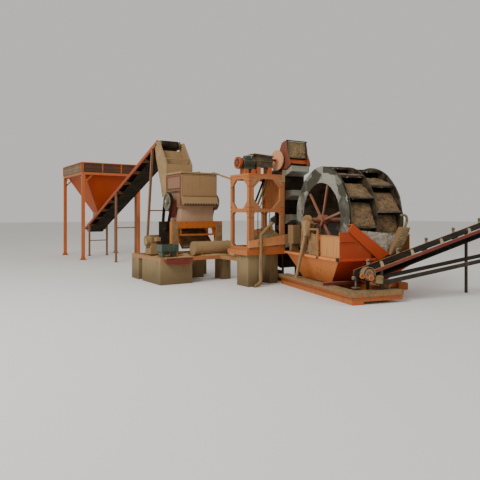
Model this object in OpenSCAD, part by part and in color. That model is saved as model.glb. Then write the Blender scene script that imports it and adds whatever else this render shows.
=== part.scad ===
/* [Feed hopper] */
// Width of the hopper mouth across the line
hopper_w = 2800; // [2400:50:3200]
// Length of the hopper mouth along the line
hopper_l = 3400; // [3000:50:3800]
// Height of the hopper's top frame above the ground
hopper_top_z = 4020; // [3800:10:4300]
// Distance of the hopper's middle in front of the feed belt's tail drum
hopper_back = 892; // [800:4:1000]
// Square section of the hopper's legs
hopper_leg = 140; // [100:5:180]
// Height of the beams of the hopper's top frame
hopper_beam_h = 110; // [80:5:160]
// Plate thickness of the hopper
hopper_plate = 20; // [12:1:30]
// Height of the board walls above the top frame
hopper_wall_h = 420; // [300:10:600]
// Thickness of the board walls
hopper_wall_t = 40; // [30:1:60]
// Width of the outlet across the belt
outlet_w = 500; // [400:10:560]
// Length of the outlet along the belt
outlet_l = 800; // [600:10:900]
// Height of the outlet above the belt, under the hopper's middle
outlet_gap = 328; // [300:4:420]

/* [Feed conveyor] */
// Slope of the feed conveyor in degrees
feed_slope = 20.15; // [19:0.05:21]
// Distance of the head drum behind the crusher
feed_head_y = 1800; // [1770:10:1830]
// Height of the head drum's axis above the ground
feed_head_z = 4605; // [4580:5:4640]
// Distance between the axes of the two belt drums
feed_run = 9450; // [9300:50:9600]
// Radius of the belt drums
feed_drum_r = 150; // [130:5:170]
// Length of the belt drums
feed_drum_l = 780; // [740:10:800]
// Width of the feed belt
feed_belt_w = 660; // [600:10:700]
// Thickness of the feed belt
belt_t = 14; // [10:1:20]
// Width between the outer faces of the two stringers
feed_frame_w = 940; // [900:10:980]
// Height of a stringer channel
stringer_h = 130; // [100:5:150]
// Width of a stringer channel
stringer_w = 50; // [40:5:60]
// Distance between the cross members
feed_bay = 1080; // [900:20:1300]
// Radius of the belt drums' shafts
feed_shaft_r = 40; // [30:1:45]

/* [Crusher] */
// Width of the crusher's housing
crusher_w = 1280; // [1200:10:1340]
// Depth of the crusher's housing
crusher_d = 1070; // [1000:10:1100]
// Height of the housing's underside above the ground
crusher_z = 1860; // [1800:10:1900]
// Height of the housing's lower part
lower_h = 500; // [440:10:540]
// Height of the housing's upper part
upper_h = 1040; // [980:10:1100]
// Radius of the flywheels
flywheel_r = 275; // [250:5:300]
// Thickness of the flywheels
flywheel_t = 110; // [90:5:130]
// Radius of the rotor shaft
rotor_r = 60; // [50:1:70]
// Height of the skid's top above the ground
skid_top = 800; // [760:10:820]
// Height of the skid's beams
skid_beam_h = 110; // [100:5:140]
// Radius of the roll drum in front of the crusher
roll_r = 215; // [190:5:230]
// Length of the roll drum
roll_l = 1330; // [1200:10:1400]

/* [Tower] */
// Width of the tower across the line
tower_w = 1290; // [1240:10:1320]
// Depth of the tower along the line
tower_d = 1010; // [960:10:1040]
// Height of the tower's foot above the ground
tower_z = 1060; // [1040:5:1080]
// Height of the tower's steel frame
tower_h = 2150; // [2100:10:2200]
// Plate thickness of the tower
tower_plate = 60; // [50:5:70]
// Width of the tower's corner columns
tower_column = 110; // [100:5:130]
// Radius of the elevator's big drive disc
disc_r = 320; // [300:5:340]

/* [Elevator] */
// Width between the outer faces of the elevator's sides
lift_w = 840; // [800:10:860]
// Radius of the elevator's head drum
lift_drum_r = 230; // [210:5:250]
// Height of the elevator's head axis above the ground
lift_head_z = 3785; // [3760:5:3800]
// Height of the elevator's lower axis above the ground
lift_boot_z = 640; // [620:10:700]
// Distance between two buckets of the elevator
lift_pitch = 750; // [700:10:760]

/* [Washer] */
// Turn of the washer against the crusher line in degrees
washer_turn = -13; // [-14:0.5:-12]
// Radius of the bucket wheel
wheel_r = 1500; // [1450:10:1520]
// Inner radius of the wheel's side rings
ring_r = 1040; // [1000:10:1080]
// Width of the bucket wheel
wheel_w = 1550; // [1500:10:1600]
// Height of the wheel's axis above the ground
wheel_z = 1920; // [1900:5:1950]
// Number of buckets in one row of the wheel
bucket_n = 12; // [10:1:14]
// Width of the mouth between two buckets
bucket_mouth = 230; // [180:5:260]
// Turn of the wheel at rest in degrees
wheel_phase = 6.5; // [0:0.5:29.5]
// Plate thickness of the wheel
wheel_plate = 20; // [14:1:24]
// Radius of the wheel's shaft
axle_r = 75; // [65:1:85]
// Height of the tank's rim above the ground
tank_rim_z = 940; // [900:5:960]
// Height of the tank's bottom above the ground
tank_floor_z = 250; // [240:5:270]
// Plate thickness of the tank
tank_plate = 22; // [16:1:28]
// Height of the long beams under the washer's skid
washer_skid_h = 190; // [170:5:200]
// Thickness of the deck on the washer's skid
washer_deck_h = 110; // [90:5:120]
// Width of the space between the wheel and the tank's rim
tank_side = 460; // [440:5:480]

/* [Discharge conveyor] */
// Slope of the discharge conveyor in degrees
dis_slope = 16; // [15:0.5:17]
// Distance between the axes of the discharge conveyor's drums
dis_run = 6750; // [6400:50:7000]
// Radius of the discharge conveyor's drums
dis_drum_r = 110; // [100:5:120]
// Width of the discharge belt
dis_belt_w = 420; // [400:10:440]
// Width between the outer faces of the discharge stringers
dis_frame_w = 600; // [580:10:640]
// Height of the tail drum's axis above the ground
dis_tail_z = 640; // [600:10:680]

/* [Fits] */
// Radial gap between a shaft and its bearing
shaft_gap = 0.05; // [0.02:0.01:0.08]
// Gap between a turning drum and the belt round it
belt_gap = 0.3; // [0.2:0.1:0.6]

/* [Hidden] */
$fn = 48;

// Colours
orange = "#c8602e";
red_orange = "#b8461c";
tan = "#a48a60";
dusty = "#a98672";
maroon = "#6e2a26";
dark = "#34302c";
grey = "#8c8c86";
rust = "#84523c";
masonry = "#b4aca0";
green = "#54655a";

// Centre of the crusher across the line
crusher_x = -45;
crusher_front = -600;
crusher_back = crusher_front + crusher_d;
crusher_left = crusher_x - crusher_w / 2;
crusher_right = crusher_x + crusher_w / 2;
upper_z = crusher_z + lower_h;
inlet_w = feed_frame_w;
inlet_rise = 340;
inlet_back = 900;
chute_low = upper_z + inlet_rise;
chute_front = inlet_back + 5;
lid_z = upper_z + upper_h;
lid_t = 50;
lid_rim = 30;
lower_in = 55;
rotor_y = -100;
rotor_z = upper_z + 140;
flywheel_off = 215;

// First cross member of the feed conveyor, along the slope from the head drum
feed_first = 440;
feed_tail_y = feed_head_y + feed_run * cos(feed_slope);

function feed_top(y) = feed_head_z + (feed_drum_r + belt_gap + belt_t) / cos(feed_slope)
    - (y - feed_head_y) * tan(feed_slope);

function feed_frame_low(y) = feed_head_z + (feed_drum_r - stringer_h) / cos(feed_slope)
    - (y - feed_head_y) * tan(feed_slope);

// Hopper
hopper_y = feed_tail_y - hopper_back;
hopper_in = hopper_leg;
cone_drop = hopper_top_z - hopper_beam_h;
outlet_z = feed_top(hopper_y) + outlet_gap;

// Crusher frame and skid
post_w = 240;
post_d = 150;
frame_front_left = crusher_left - flywheel_off - flywheel_t / 2 - 65;
frame_left = crusher_left - flywheel_off + flywheel_t / 2 + 20;
frame_right = crusher_right + 235;
beam_h = 220;
skid_left = -1750;
skid_right = 800;
skid_front = -1400;
skid_back = 900;
skid_beam_w = 130;
pier_top = skid_top - skid_beam_h;
motor_y = 260;
motor_r = 170;
motor_z = skid_top + 100 + motor_r + 160;
motor_l = 450;
motor_shaft_r = 35;
motor_pulley_r = 130;
roll_x = 140;
roll_y = -1090;
tub_x = -1640;
tub_y = -1250;
tub_w = 560;
tub_d = 380;

// Tower
tower_x = 230;
tower_front = -3110;
tower_back = tower_front + tower_d;
tower_right = tower_x + tower_w;
tower_top = tower_z + tower_h;
base_h = 150;
deck_h = 60;
deck_top = tower_top + deck_h;
motor_stand = deck_top + 180;
gear_stand = deck_top + 260;
gear_left = tower_x + 670;
gear_right = tower_x + 1260;
gear_half = 140;
stand_w = 130;
deck_axis = deck_top + 360;

// Trough and pipe at the tower's front
trough_t = 30;
trough_end = 1790;
trough_d = 420;
pipe_r = 50;
pipe_x = 590;
pipe_bend = 200;
pipe_reach = 530;
pipe_lean = 50;
// Middle of the tank's far rim under the trough's end box
tank_seat = -3260;

// Elevator
lift_x = tower_right + 325;
lift_y = -2400;
lift_side = 30;
lift_shaft_r = 40;
lift_band_w = lift_w - 140;
bucket_out = 310;
bucket_drop = 345;

// Washer, in its own turned frame: x along the axle, y away from its near end
washer_x = 1696;
washer_y = -4536;
tank_near = -1650;
tank_far = 1240;
floor_near = -650;
floor_far = 1000;
floor_in = 60;
rim_w = 60;
rim_h = 60;
tank_left = -tank_side;
tank_right = wheel_w + tank_side;
bearing_w = 160;

// Discharge conveyor, in the washer's frame
dis_y = -2070;
dis_tail_x = -40;
dis_stringer_h = 75;
dis_stringer_w = 45;

// Places that follow the feed belt, measured along its slope from the head drum
module feed_place() {
    translate([0, feed_head_y, feed_head_z])
        rotate([-feed_slope, 0, 0])
            children();
}

module washer_place() {
    translate([washer_x, washer_y, 0])
        rotate([0, 0, washer_turn])
            children();
}

module discharge_place() {
    washer_place()
        translate([dis_tail_x, dis_y, dis_tail_z])
            rotate([0, -dis_slope, 0])
                children();
}

// Box between two corners
module block(low, high) {
    translate(low)
        cube(high - low);
}

// Round bar along X, centred on its middle
module bar_x(r, l) {
    rotate([0, 90, 0])
        cylinder(r = r, h = l, center = true);
}

// Square bar between two points
module strut(a, b, w) {
    d = b - a;
    l = norm(d);
    translate(a)
        rotate([0, acos(d[2] / l), atan2(d[1], d[0])])
            translate([-w / 2, -w / 2, 0])
                cube([w, w, l]);
}

// Outline of a band round two wheels
module band_outline(c1, r1, c2, r2) {
    d = norm(c2 - c1);
    face = atan2(c2[1] - c1[1], c2[0] - c1[0]);
    lean = acos((r1 - r2) / d);
    translate(c1)
        circle(r = r1);
    translate(c2)
        circle(r = r2);
    polygon([c1 + r1 * [cos(face + lean), sin(face + lean)],
        c1 + r1 * [cos(face - lean), sin(face - lean)],
        c2 + r2 * [cos(face - lean), sin(face - lean)],
        c2 + r2 * [cos(face + lean), sin(face + lean)]]);
}

module band_ring(c1, r1, c2, r2, t) {
    difference() {
        band_outline(c1, r1 + t, c2, r2 + t);
        band_outline(c1, r1, c2, r2);
    }
}

// Turns an outline drawn in Y and Z into a solid that is w wide along X
module across(w) {
    rotate([90, 0, 90])
        translate([0, 0, -w / 2])
            linear_extrude(w)
                children();
}

// Hopper
module hopper_ring(w, l, t, z, h) {
    translate([0, hopper_y, z])
        difference() {
            translate([-w / 2, -l / 2, 0])
                cube([w, l, h]);
            translate([-w / 2 + t, -l / 2 + t, -1])
                cube([w - 2 * t, l - 2 * t, h + 2]);
        }
}

module cone_solid(w, l, ow, ol, top, low) {
    hull() {
        translate([-w / 2, hopper_y - l / 2, top - 1])
            cube([w, l, 1]);
        translate([-ow / 2, hopper_y - ol / 2, low])
            cube([ow, ol, 1]);
    }
}

module hopper_cone() {
    w = hopper_w - 2 * hopper_in;
    l = hopper_l - 2 * hopper_in;
    color(red_orange)
        difference() {
            cone_solid(w, l, outlet_w + 2 * hopper_plate, outlet_l + 2 * hopper_plate,
                hopper_top_z, outlet_z);
            cone_solid(w - 2 * hopper_plate, l - 2 * hopper_plate, outlet_w, outlet_l,
                hopper_top_z + 1, outlet_z - 1);
        }
}

module hopper_walls() {
    color(rust)
        hopper_ring(hopper_w - 20, hopper_l - 20, hopper_wall_t, hopper_top_z, hopper_wall_h);
}

module hopper_top_frame() {
    color(orange) {
        hopper_ring(hopper_w, hopper_l, hopper_in, hopper_top_z - hopper_beam_h, hopper_beam_h);
        hopper_ring(hopper_w + 60, hopper_l + 60, hopper_wall_t + 40, hopper_top_z + hopper_wall_h, 40);
    }
}

module hopper_legs() {
    brace = 50;
    reach = 420;
    color(orange)
        for (sx = [-1, 1])
            for (sy = [-1, 1]) {
                px = sx * (hopper_w - hopper_leg) / 2;
                py = hopper_y + sy * (hopper_l - hopper_leg) / 2;
                translate([px - hopper_leg / 2, py - hopper_leg / 2, 0])
                    cube([hopper_leg, hopper_leg, cone_drop]);
                difference() {
                    union() {
                        strut([px, py, cone_drop - reach], [px - sx * reach, py, cone_drop], brace);
                        strut([px, py, cone_drop - reach], [px, py - sy * reach, cone_drop], brace);
                    }
                    translate([px - 2 * reach, py - 2 * reach, cone_drop])
                        cube([4 * reach, 4 * reach, reach]);
                }
            }
}

module hopper_skirt() {
    w = outlet_w + 2 * hopper_plate;
    l = outlet_l + 2 * hopper_plate;
    color(tan)
        difference() {
            translate([-w / 2, hopper_y - l / 2, 0])
                cube([w, l, outlet_z]);
            translate([-outlet_w / 2, hopper_y - outlet_l / 2, -1])
                cube([outlet_w, outlet_l, outlet_z + 2]);
            feed_place()
                translate([-hopper_w, -feed_run, -hopper_top_z])
                    cube([2 * hopper_w, 3 * feed_run, hopper_top_z + feed_drum_r + belt_t + belt_gap]);
        }
}

// Feed conveyor
module feed_stringers() {
    color(red_orange)
        feed_place()
            for (s = [-1, 1])
                difference() {
                    translate([s * (feed_frame_w - stringer_w) / 2 - stringer_w / 2, -60,
                        feed_drum_r - stringer_h])
                        cube([stringer_w, feed_run + 260, stringer_h]);
                    bar_x(feed_shaft_r + shaft_gap, 2 * feed_frame_w);
                    translate([0, feed_run, 0])
                        bar_x(feed_shaft_r + shaft_gap, 2 * feed_frame_w);
                }
}

module feed_cross_members() {
    w = feed_frame_w - 2 * stringer_w;
    n = floor((feed_run - feed_first - 300) / feed_bay);
    color(orange)
        feed_place()
            for (i = [0:n])
                translate([-w / 2, feed_first + i * feed_bay, feed_drum_r - stringer_h])
                    cube([w, 60, 50]);
}

module feed_belt() {
    color(dark)
        feed_place()
            across(feed_belt_w)
                band_ring([0, 0], feed_drum_r + belt_gap, [feed_run, 0], feed_drum_r + belt_gap, belt_t);
}

module belt_drum(r, l, shaft_r, shaft_l) {
    bar_x(r, l);
    bar_x(shaft_r, shaft_l);
}

module feed_head_drum() {
    color(grey)
        feed_place()
            belt_drum(feed_drum_r, feed_drum_l, feed_shaft_r, feed_frame_w + 160);
}

module feed_tail_drum() {
    color(grey)
        feed_place()
            translate([0, feed_run, 0])
                belt_drum(feed_drum_r, feed_drum_l, feed_shaft_r, feed_frame_w + 120);
}

module feed_idlers() {
    w = feed_frame_w - 2 * stringer_w;
    n = floor((feed_run - feed_first - 300) / feed_bay);
    color(grey)
        feed_place()
            for (i = [0:n]) {
                translate([0, feed_first + 30 + i * feed_bay, feed_drum_r - stringer_h + 90])
                    bar_x(40, w - 30);
                translate([-w / 2 + 8, feed_first + i * feed_bay, feed_drum_r - stringer_h + 50])
                    cube([10, 60, 70]);
                translate([w / 2 - 18, feed_first + i * feed_bay, feed_drum_r - stringer_h + 50])
                    cube([10, 60, 70]);
            }
}

module feed_leg_pair(y_top, y_foot, w) {
    x = feed_frame_w / 2 - stringer_w / 2;
    z = feed_frame_low(y_top);
    for (s = [-1, 1]) {
        difference() {
            strut([s * x, y_foot, 0], [s * x, y_top, z + 60], w);
            feed_place()
                translate([-feed_frame_w, -feed_run, feed_drum_r - stringer_h])
                    cube([2 * feed_frame_w, 3 * feed_run, stringer_h * 3]);
            translate([-feed_frame_w, -feed_run, -200])
                cube([2 * feed_frame_w, 3 * feed_run, 200]);
        }
        block([s * x - w, y_foot - w, 0], [s * x + w, y_foot + w, 20]);
    }
    translate([0, (y_foot + y_top) / 2, z / 2])
        cube([2 * x, w * 0.6, w * 0.6], center = true);
}

module feed_legs() {
    w = 80;
    middle = (feed_head_y + feed_tail_y) / 2;
    color(rust) {
        feed_leg_pair(feed_head_y + 450, feed_head_y + 1100, w);
        feed_leg_pair(middle, middle, w);
        feed_leg_pair(feed_tail_y - 470, feed_tail_y - 470, w);
    }
}

// Chute between the belt and the crusher
module chute_side() {
    y = feed_head_y;
    z = feed_head_z;
    front = crusher_back + lid_rim + 5;
    polygon([[y - 550, chute_low], [front, chute_low], [front, lid_z + 60], [chute_front, lid_z + 60],
        [chute_front, lid_z + 440], [y - 260, z + 85], [y + 100, z + 85], [y - 10, z - 485],
        [y - 440, z - 1515]]);
}

module head_chute() {
    w = feed_frame_w;
    t = 24;
    plate = 20;
    bar = 40;
    lean = 16;
    color(tan) {
        difference() {
            union()
                for (s = [-1, 1])
                    translate([s * (w + t) / 2, 0, 0])
                        across(t)
                            chute_side();
            feed_place()
                bar_x(feed_shaft_r + shaft_gap, 3 * w);
        }
        block([-w / 2, chute_front, lid_z + 5], [w / 2, chute_front + plate, lid_z + 440]);
        translate([-w / 2, chute_front + 115, lid_z + 620])
            cube([w, bar, bar]);
        translate([-w / 2, feed_head_y - 555, chute_low + 80])
            rotate([-lean, 0, 0])
                cube([w, plate, (feed_head_z - 285 - chute_low) / cos(lean)]);
    }
}

// Crusher
module crusher_upper_body() {
    color(dusty)
        difference() {
            union() {
                block([crusher_left, crusher_front, upper_z], [crusher_right, crusher_back, lid_z]);
                block([-inlet_w / 2, crusher_back - 5, chute_low], [inlet_w / 2, inlet_back, lid_z]);
                for (y = [crusher_front, crusher_back - 60])
                    block([crusher_left - 18, y, upper_z], [crusher_right + 18, y + 60, lid_z]);
            }
            translate([0, rotor_y, rotor_z])
                bar_x(rotor_r + 15, 4 * crusher_w);
        }
}

module crusher_hood() {
    flare = 170;
    kink = upper_z + 320;
    t = 40;
    f = crusher_front;
    color(tan)
        translate([crusher_x, 0, 0])
            across(crusher_w + 20)
                polygon([[f, lid_z - 20], [f - t, lid_z - 20], [f - t, kink], [f - flare, upper_z + 70],
                    [f - flare, upper_z + 40], [f - flare + t, upper_z + 40], [f, kink - 30]]);
}

module crusher_lid() {
    color(tan) {
        block([crusher_left - lid_rim, crusher_front - lid_rim - 40, lid_z],
            [crusher_right + lid_rim, crusher_back + lid_rim, lid_z + lid_t]);
    }
}

module crusher_lower_body() {
    color(dusty)
        difference() {
            union() {
                block([crusher_left + lower_in, crusher_front + 90, crusher_z],
                    [crusher_right - lower_in, crusher_back - 60, upper_z]);
                block([crusher_left, crusher_front + 30, upper_z - 40],
                    [crusher_right, crusher_back - 10, upper_z]);
            }
            block([crusher_left + 200, crusher_front + 240, crusher_z - 1],
                [crusher_right - 200, crusher_back - 240, crusher_z + 300]);
        }
}

module rotor_shaft() {
    color(grey)
        translate([crusher_x, rotor_y, rotor_z])
            bar_x(rotor_r, crusher_w + 2 * flywheel_off + flywheel_t + 60);
}

module flywheel(s) {
    color(grey)
        translate([crusher_x + s * (crusher_w / 2 + flywheel_off), rotor_y, rotor_z])
            rotate([0, 90, 0])
                difference() {
                    union() {
                        difference() {
                            cylinder(r = flywheel_r, h = flywheel_t, center = true);
                            for (k = [-1, 1])
                                translate([0, 0, k * flywheel_t * 0.7])
                                    cylinder(r = flywheel_r - 45, h = flywheel_t, center = true);
                        }
                        cylinder(r = rotor_r + 40, h = flywheel_t + 30, center = true);
                    }
                    cylinder(r = rotor_r, h = 2 * flywheel_t, center = true);
                }
}

module flywheel_left() {
    flywheel(-1);
}

module flywheel_right() {
    flywheel(1);
}

module rotor_bearings() {
    w = 140;
    color(maroon)
        for (s = [-1, 1])
            translate([crusher_x + s * (crusher_w / 2 + w / 2), rotor_y, 0])
                difference() {
                    union() {
                        block([-w / 2, -180, upper_z - 60], [w / 2, 180, rotor_z]);
                        translate([0, 0, rotor_z])
                            bar_x(125, w);
                        across(w)
                            polygon([[-180, upper_z - 60], [180, upper_z - 60], [60, crusher_z + 120],
                                [-60, crusher_z + 120]]);
                    }
                    translate([0, 0, rotor_z])
                        bar_x(rotor_r + shaft_gap, 2 * w);
                }
}

module crusher_frame() {
    l = frame_left;
    r = frame_right;
    f = crusher_front - 20;
    b = crusher_back + 10;
    rail = 60;
    color(orange) {
        for (p = [[frame_front_left, f], [r - post_w, f], [l, b - post_d], [r - post_w, b - post_d]])
            block([p[0], p[1], skid_top], [p[0] + post_w, p[1] + post_d, crusher_z]);
        block([frame_front_left + post_w, f, crusher_z - beam_h], [r - post_w, f + post_d, crusher_z]);
        block([l + post_w, b - post_d, crusher_z - beam_h], [r - post_w, b, crusher_z]);
        for (x = [l + 5, r - post_w + 40])
            block([x, f + post_d, crusher_z - beam_h], [x + 120, b - post_d, crusher_z]);
        block([frame_front_left + post_w, f + 30, skid_top + 600], [r - post_w, f + 30 + rail,
            skid_top + 600 + rail]);
        for (x = [l + post_w - 140, r - post_w - 40 - rail])
            block([x, f + 30, skid_top + 600 + rail], [x + rail, f + 30 + rail, crusher_z - beam_h]);
    }
}

module crusher_motor() {
    x = crusher_x - crusher_w / 2 - flywheel_off - 90;
    color(tan)
        translate([x - motor_l / 2, motor_y, 0]) {
            translate([0, 0, motor_z])
                bar_x(motor_r, motor_l);
            translate([-motor_l / 2 - 45, 0, motor_z])
                bar_x(motor_r - 12, 90);
            block([-motor_l / 2 + 40, -motor_r, motor_z - motor_r - 60],
                [motor_l / 2 - 40, motor_r, motor_z - 60]);
            block([-motor_l / 2, -motor_r - 40, skid_top], [motor_l / 2, motor_r + 40,
                motor_z - motor_r - 60]);
            translate([motor_l / 2 + 50, 0, motor_z])
                bar_x(motor_shaft_r, 100);
        }
}

module motor_pulley() {
    color(dark)
        translate([crusher_x - crusher_w / 2 - flywheel_off, motor_y, motor_z])
            rotate([0, 90, 0])
                difference() {
                    cylinder(r = motor_pulley_r, h = flywheel_t, center = true);
                    cylinder(r = motor_shaft_r, h = 2 * flywheel_t, center = true);
                }
}

module drive_belts() {
    color(dark)
        translate([crusher_x - crusher_w / 2 - flywheel_off, 0, 0])
            across(flywheel_t - 10)
                band_ring([rotor_y, rotor_z], flywheel_r + belt_gap, [motor_y, motor_z],
                    motor_pulley_r, belt_t);
}

module discharge_screen() {
    l = frame_left + post_w;
    r = frame_right - post_w - 5;
    color(dark)
        translate([(l + r) / 2, 0, 0])
            across(r - l)
                polygon([[crusher_back - 140, crusher_z - beam_h], [crusher_back - 140, crusher_z - beam_h
                    - 40], [crusher_front + 130, skid_top + 180], [crusher_front + 130, skid_top + 220]]);
}

module roll_drum() {
    z = skid_top + roll_r + 10;
    color(tan)
        translate([roll_x, roll_y, z]) {
            bar_x(roll_r, roll_l);
            for (x = [-roll_l / 2 + 60, roll_l / 2 - 60])
                translate([x, 0, 0])
                    bar_x(roll_r + 10, 50);
            for (x = [-roll_l / 2 + 260, roll_l / 2 - 260])
                block([x - 40, -150, skid_top - z], [x + 40, 150, -120]);
        }
}

module side_tubs() {
    foot = 180;
    h = 200;
    wall = 20;
    in = 40;
    color(green)
        translate([tub_x, tub_y, skid_top]) {
            translate([0, 0, foot])
                difference() {
                    cube([tub_w, tub_d, h]);
                    translate([wall, wall, wall])
                        cube([tub_w - 2 * wall, tub_d - 2 * wall, h]);
                }
            for (x = [in, tub_w - 3.5 * in])
                translate([x, in, 0])
                    cube([2 * in, tub_d - 2 * in, foot]);
        }
}

module crusher_skid() {
    b = skid_beam_w;
    arm_left = tower_x + 60;
    arm_near = tower_back - 320;
    riser_near = tower_back - 120;
    color(orange) {
        block([skid_left, skid_front, pier_top], [skid_right, skid_front + b, skid_top]);
        block([skid_left, skid_back - b, pier_top], [skid_right, skid_back, skid_top]);
        for (x = [skid_left, crusher_left - 140, -b / 2, crusher_right - 40])
            block([x, skid_front + b, pier_top], [x + b, skid_back - b, skid_top]);
        for (y = [-1050, -600, 300])
            block([skid_left + b, y, pier_top], [skid_right - b, y + b, skid_top]);
        for (x = [arm_left, skid_right - b])
            block([x, arm_near, pier_top], [x + b, skid_front, skid_top]);
        block([arm_left, arm_near, skid_top], [skid_right, riser_near, tower_z - base_h]);
    }
}

module crusher_piers() {
    color(masonry) {
        block([-300, -300, 0], [300, 300, pier_top]);
        block([skid_right - 500, skid_back - 500, 0], [skid_right, skid_back, pier_top]);
        block([skid_left, skid_back - 600, 0], [skid_left + 900, skid_back, pier_top]);
        block([skid_left, skid_front, 0], [skid_left + 1050, skid_front + 1400, pier_top]);
        block([skid_right - 300, skid_front + 200, 0], [skid_right, skid_front + 700, pier_top]);
    }
}

// Tower
module octagon(w, h, c) {
    polygon([[c, 0], [w - c, 0], [w, c], [w, h - c], [w - c, h], [c, h], [0, h - c], [0, c]]);
}

module tower_panel(w, column, corner, upper_open) {
    open_w = w - 2 * column;
    edge = 90;
    middle = 110;
    low_h = 1000;
    high_h = tower_h - low_h - middle - 2 * edge;
    difference() {
        square([w, tower_h]);
        translate([column, edge])
            octagon(open_w, low_h, 60);
        if (upper_open)
            translate([column, edge + low_h + middle])
                octagon(open_w, high_h, corner);
    }
}

module tower_sides() {
    color(orange)
        for (x = [tower_x, tower_right - tower_plate])
            translate([x, tower_front, tower_z])
                rotate([90, 0, 90])
                    linear_extrude(tower_plate)
                        tower_panel(tower_d, tower_column, 210, x == tower_x);
}

module tower_cross_frames() {
    w = tower_w - 2 * tower_plate;
    color(tan) {
        translate([tower_x + tower_plate, tower_front + tower_plate, tower_z])
            rotate([90, 0, 0])
                linear_extrude(tower_plate)
                    tower_panel(w, tower_column, 260, true);
        translate([tower_x + tower_plate, tower_back, tower_z])
            rotate([90, 0, 0])
                linear_extrude(tower_plate)
                    tower_panel(w, tower_column - 50, 20, true);
    }
}

module tower_base() {
    color(orange)
        difference() {
            block([tower_x - 80, tower_front - 20, tower_z - base_h],
                [tower_right, tower_back + 30, tower_z]);
            block([tower_x + 120, tower_front + 180, tower_z - base_h - 1],
                [tower_right - 180, tower_back - 180, tower_z + 1]);
        }
}

module tower_piers() {
    top = tower_z - base_h;
    color(masonry) {
        block([tower_x, tower_front + 40, 0], [tower_x + 380, tower_front + 640, top]);
        block([tower_right - 300, tower_front + 340, 0], [tower_right, tower_front + 880, top]);
    }
}

module tower_deck() {
    color(orange) {
        block([tower_x - 10, tower_front, tower_top], [tower_right + 10, tower_back, deck_top]);
        for (x = [tower_x + 240, tower_x + 500])
            block([x, lift_y - gear_half, deck_top], [x + stand_w, lift_y + gear_half, motor_stand]);
        for (x = [gear_left + 20, gear_right - 20 - stand_w])
            block([x, lift_y - gear_half, deck_top], [x + stand_w, lift_y + gear_half, gear_stand]);
    }
}

module deck_motor() {
    l = 400;
    x = gear_left - 60 - l / 2;
    color(dark)
        translate([x, lift_y, deck_axis]) {
            bar_x(150, l);
            translate([l / 2 + 20, 0, 0])
                bar_x(40, 80);
            translate([-l / 2 - 60, 0, 0])
                bar_x(35, 140);
            translate([-l / 2 - 120, 0, 0])
                bar_x(175, 60);
            block([-l / 2 + 20, -120, motor_stand - deck_axis], [l / 2 - 20, 120, -70]);
            block([-90, -90, 100], [90, 90, 230]);
        }
}

module deck_gearbox() {
    top = lift_head_z + 90;
    color(tan)
        difference() {
            union() {
                block([gear_left, lift_y - gear_half, gear_stand], [gear_right, lift_y + gear_half, top]);
                block([gear_left - 20, lift_y - gear_half - 30, top - 25],
                    [gear_right + 20, lift_y + gear_half + 30, top]);
            }
            translate([gear_right - 200, lift_y, lift_head_z])
                rotate([0, 90, 0])
                    cylinder(r = lift_shaft_r + shaft_gap, h = 300);
        }
}

module tie_pole() {
    r = 30;
    a = [crusher_right + lid_rim + 2 * r, crusher_front + 20, lid_z + 20];
    b = [tower_x + 60, tower_back + 20, tower_top - 50];
    d = b - a;
    color(tan) {
        translate(a)
            rotate([0, acos(d[2] / norm(d)), atan2(d[1], d[0])])
                cylinder(r = r, h = norm(d));
        block([a[0] - 2 * r, a[1] - 50, lid_z], [a[0] + r, a[1] + 50, lid_z + lid_t]);
        block([b[0] - 50, tower_back, b[2] - 50], [b[0] + 50, tower_back + 40, b[2] + 40]);
    }
}

// Bucket elevator
module elevator_frame() {
    half = lift_drum_r - 10;
    head_over = 120;
    window_h = 560;
    window_post = 80;
    color(dark)
        for (s = [-1, 1])
            translate([lift_x + lift_w / 2 + s * (lift_w / 2 - lift_side / 2), 0, 0])
                difference() {
                    across(lift_side)
                        difference() {
                            translate([lift_y - half, 0])
                                square([2 * half, lift_head_z + head_over]);
                            for (z = [340, 1040, 1740, 2440])
                                translate([lift_y - half + window_post, z])
                                    square([2 * (half - window_post), window_h]);
                        }
                    translate([0, lift_y, lift_head_z])
                        bar_x(lift_shaft_r + shaft_gap, 100);
                }
}

module elevator_head_drum() {
    color(maroon) {
        translate([lift_x + lift_w / 2, lift_y, lift_head_z])
            bar_x(lift_drum_r, lift_w - 2 * lift_side - 60);
        translate([gear_right - 190, lift_y, lift_head_z])
            rotate([0, 90, 0])
                cylinder(r = lift_shaft_r, h = lift_x + lift_w + 60 - gear_right + 190);
    }
}

module elevator_disc() {
    color(orange)
        translate([lift_x - 75, lift_y, lift_head_z])
            rotate([0, 90, 0])
                difference() {
                    union() {
                        cylinder(r = disc_r, h = 40, center = true);
                        cylinder(r = lift_shaft_r + 40, h = 90, center = true);
                    }
                    cylinder(r = lift_shaft_r, h = 200, center = true);
                }
}

module elevator_band() {
    color(dark)
        translate([lift_x + lift_w / 2, 0, 0]) {
            across(lift_band_w)
                band_ring([lift_y, lift_head_z], lift_drum_r + belt_gap, [lift_y, lift_boot_z],
                    lift_drum_r + belt_gap, belt_t);
            translate([0, lift_y, lift_boot_z])
                bar_x(lift_drum_r, lift_w - 2 * lift_side - 60);
            translate([0, lift_y, lift_boot_z])
                bar_x(lift_shaft_r, lift_w - 2 * lift_side);
        }
}

module lift_bucket() {
    polygon([[0, -150], [bucket_out, -20], [bucket_out, 150], [bucket_out - 16, 150],
        [bucket_out - 16, -8], [16, -130], [16, 150], [0, 150]]);
}

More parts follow.
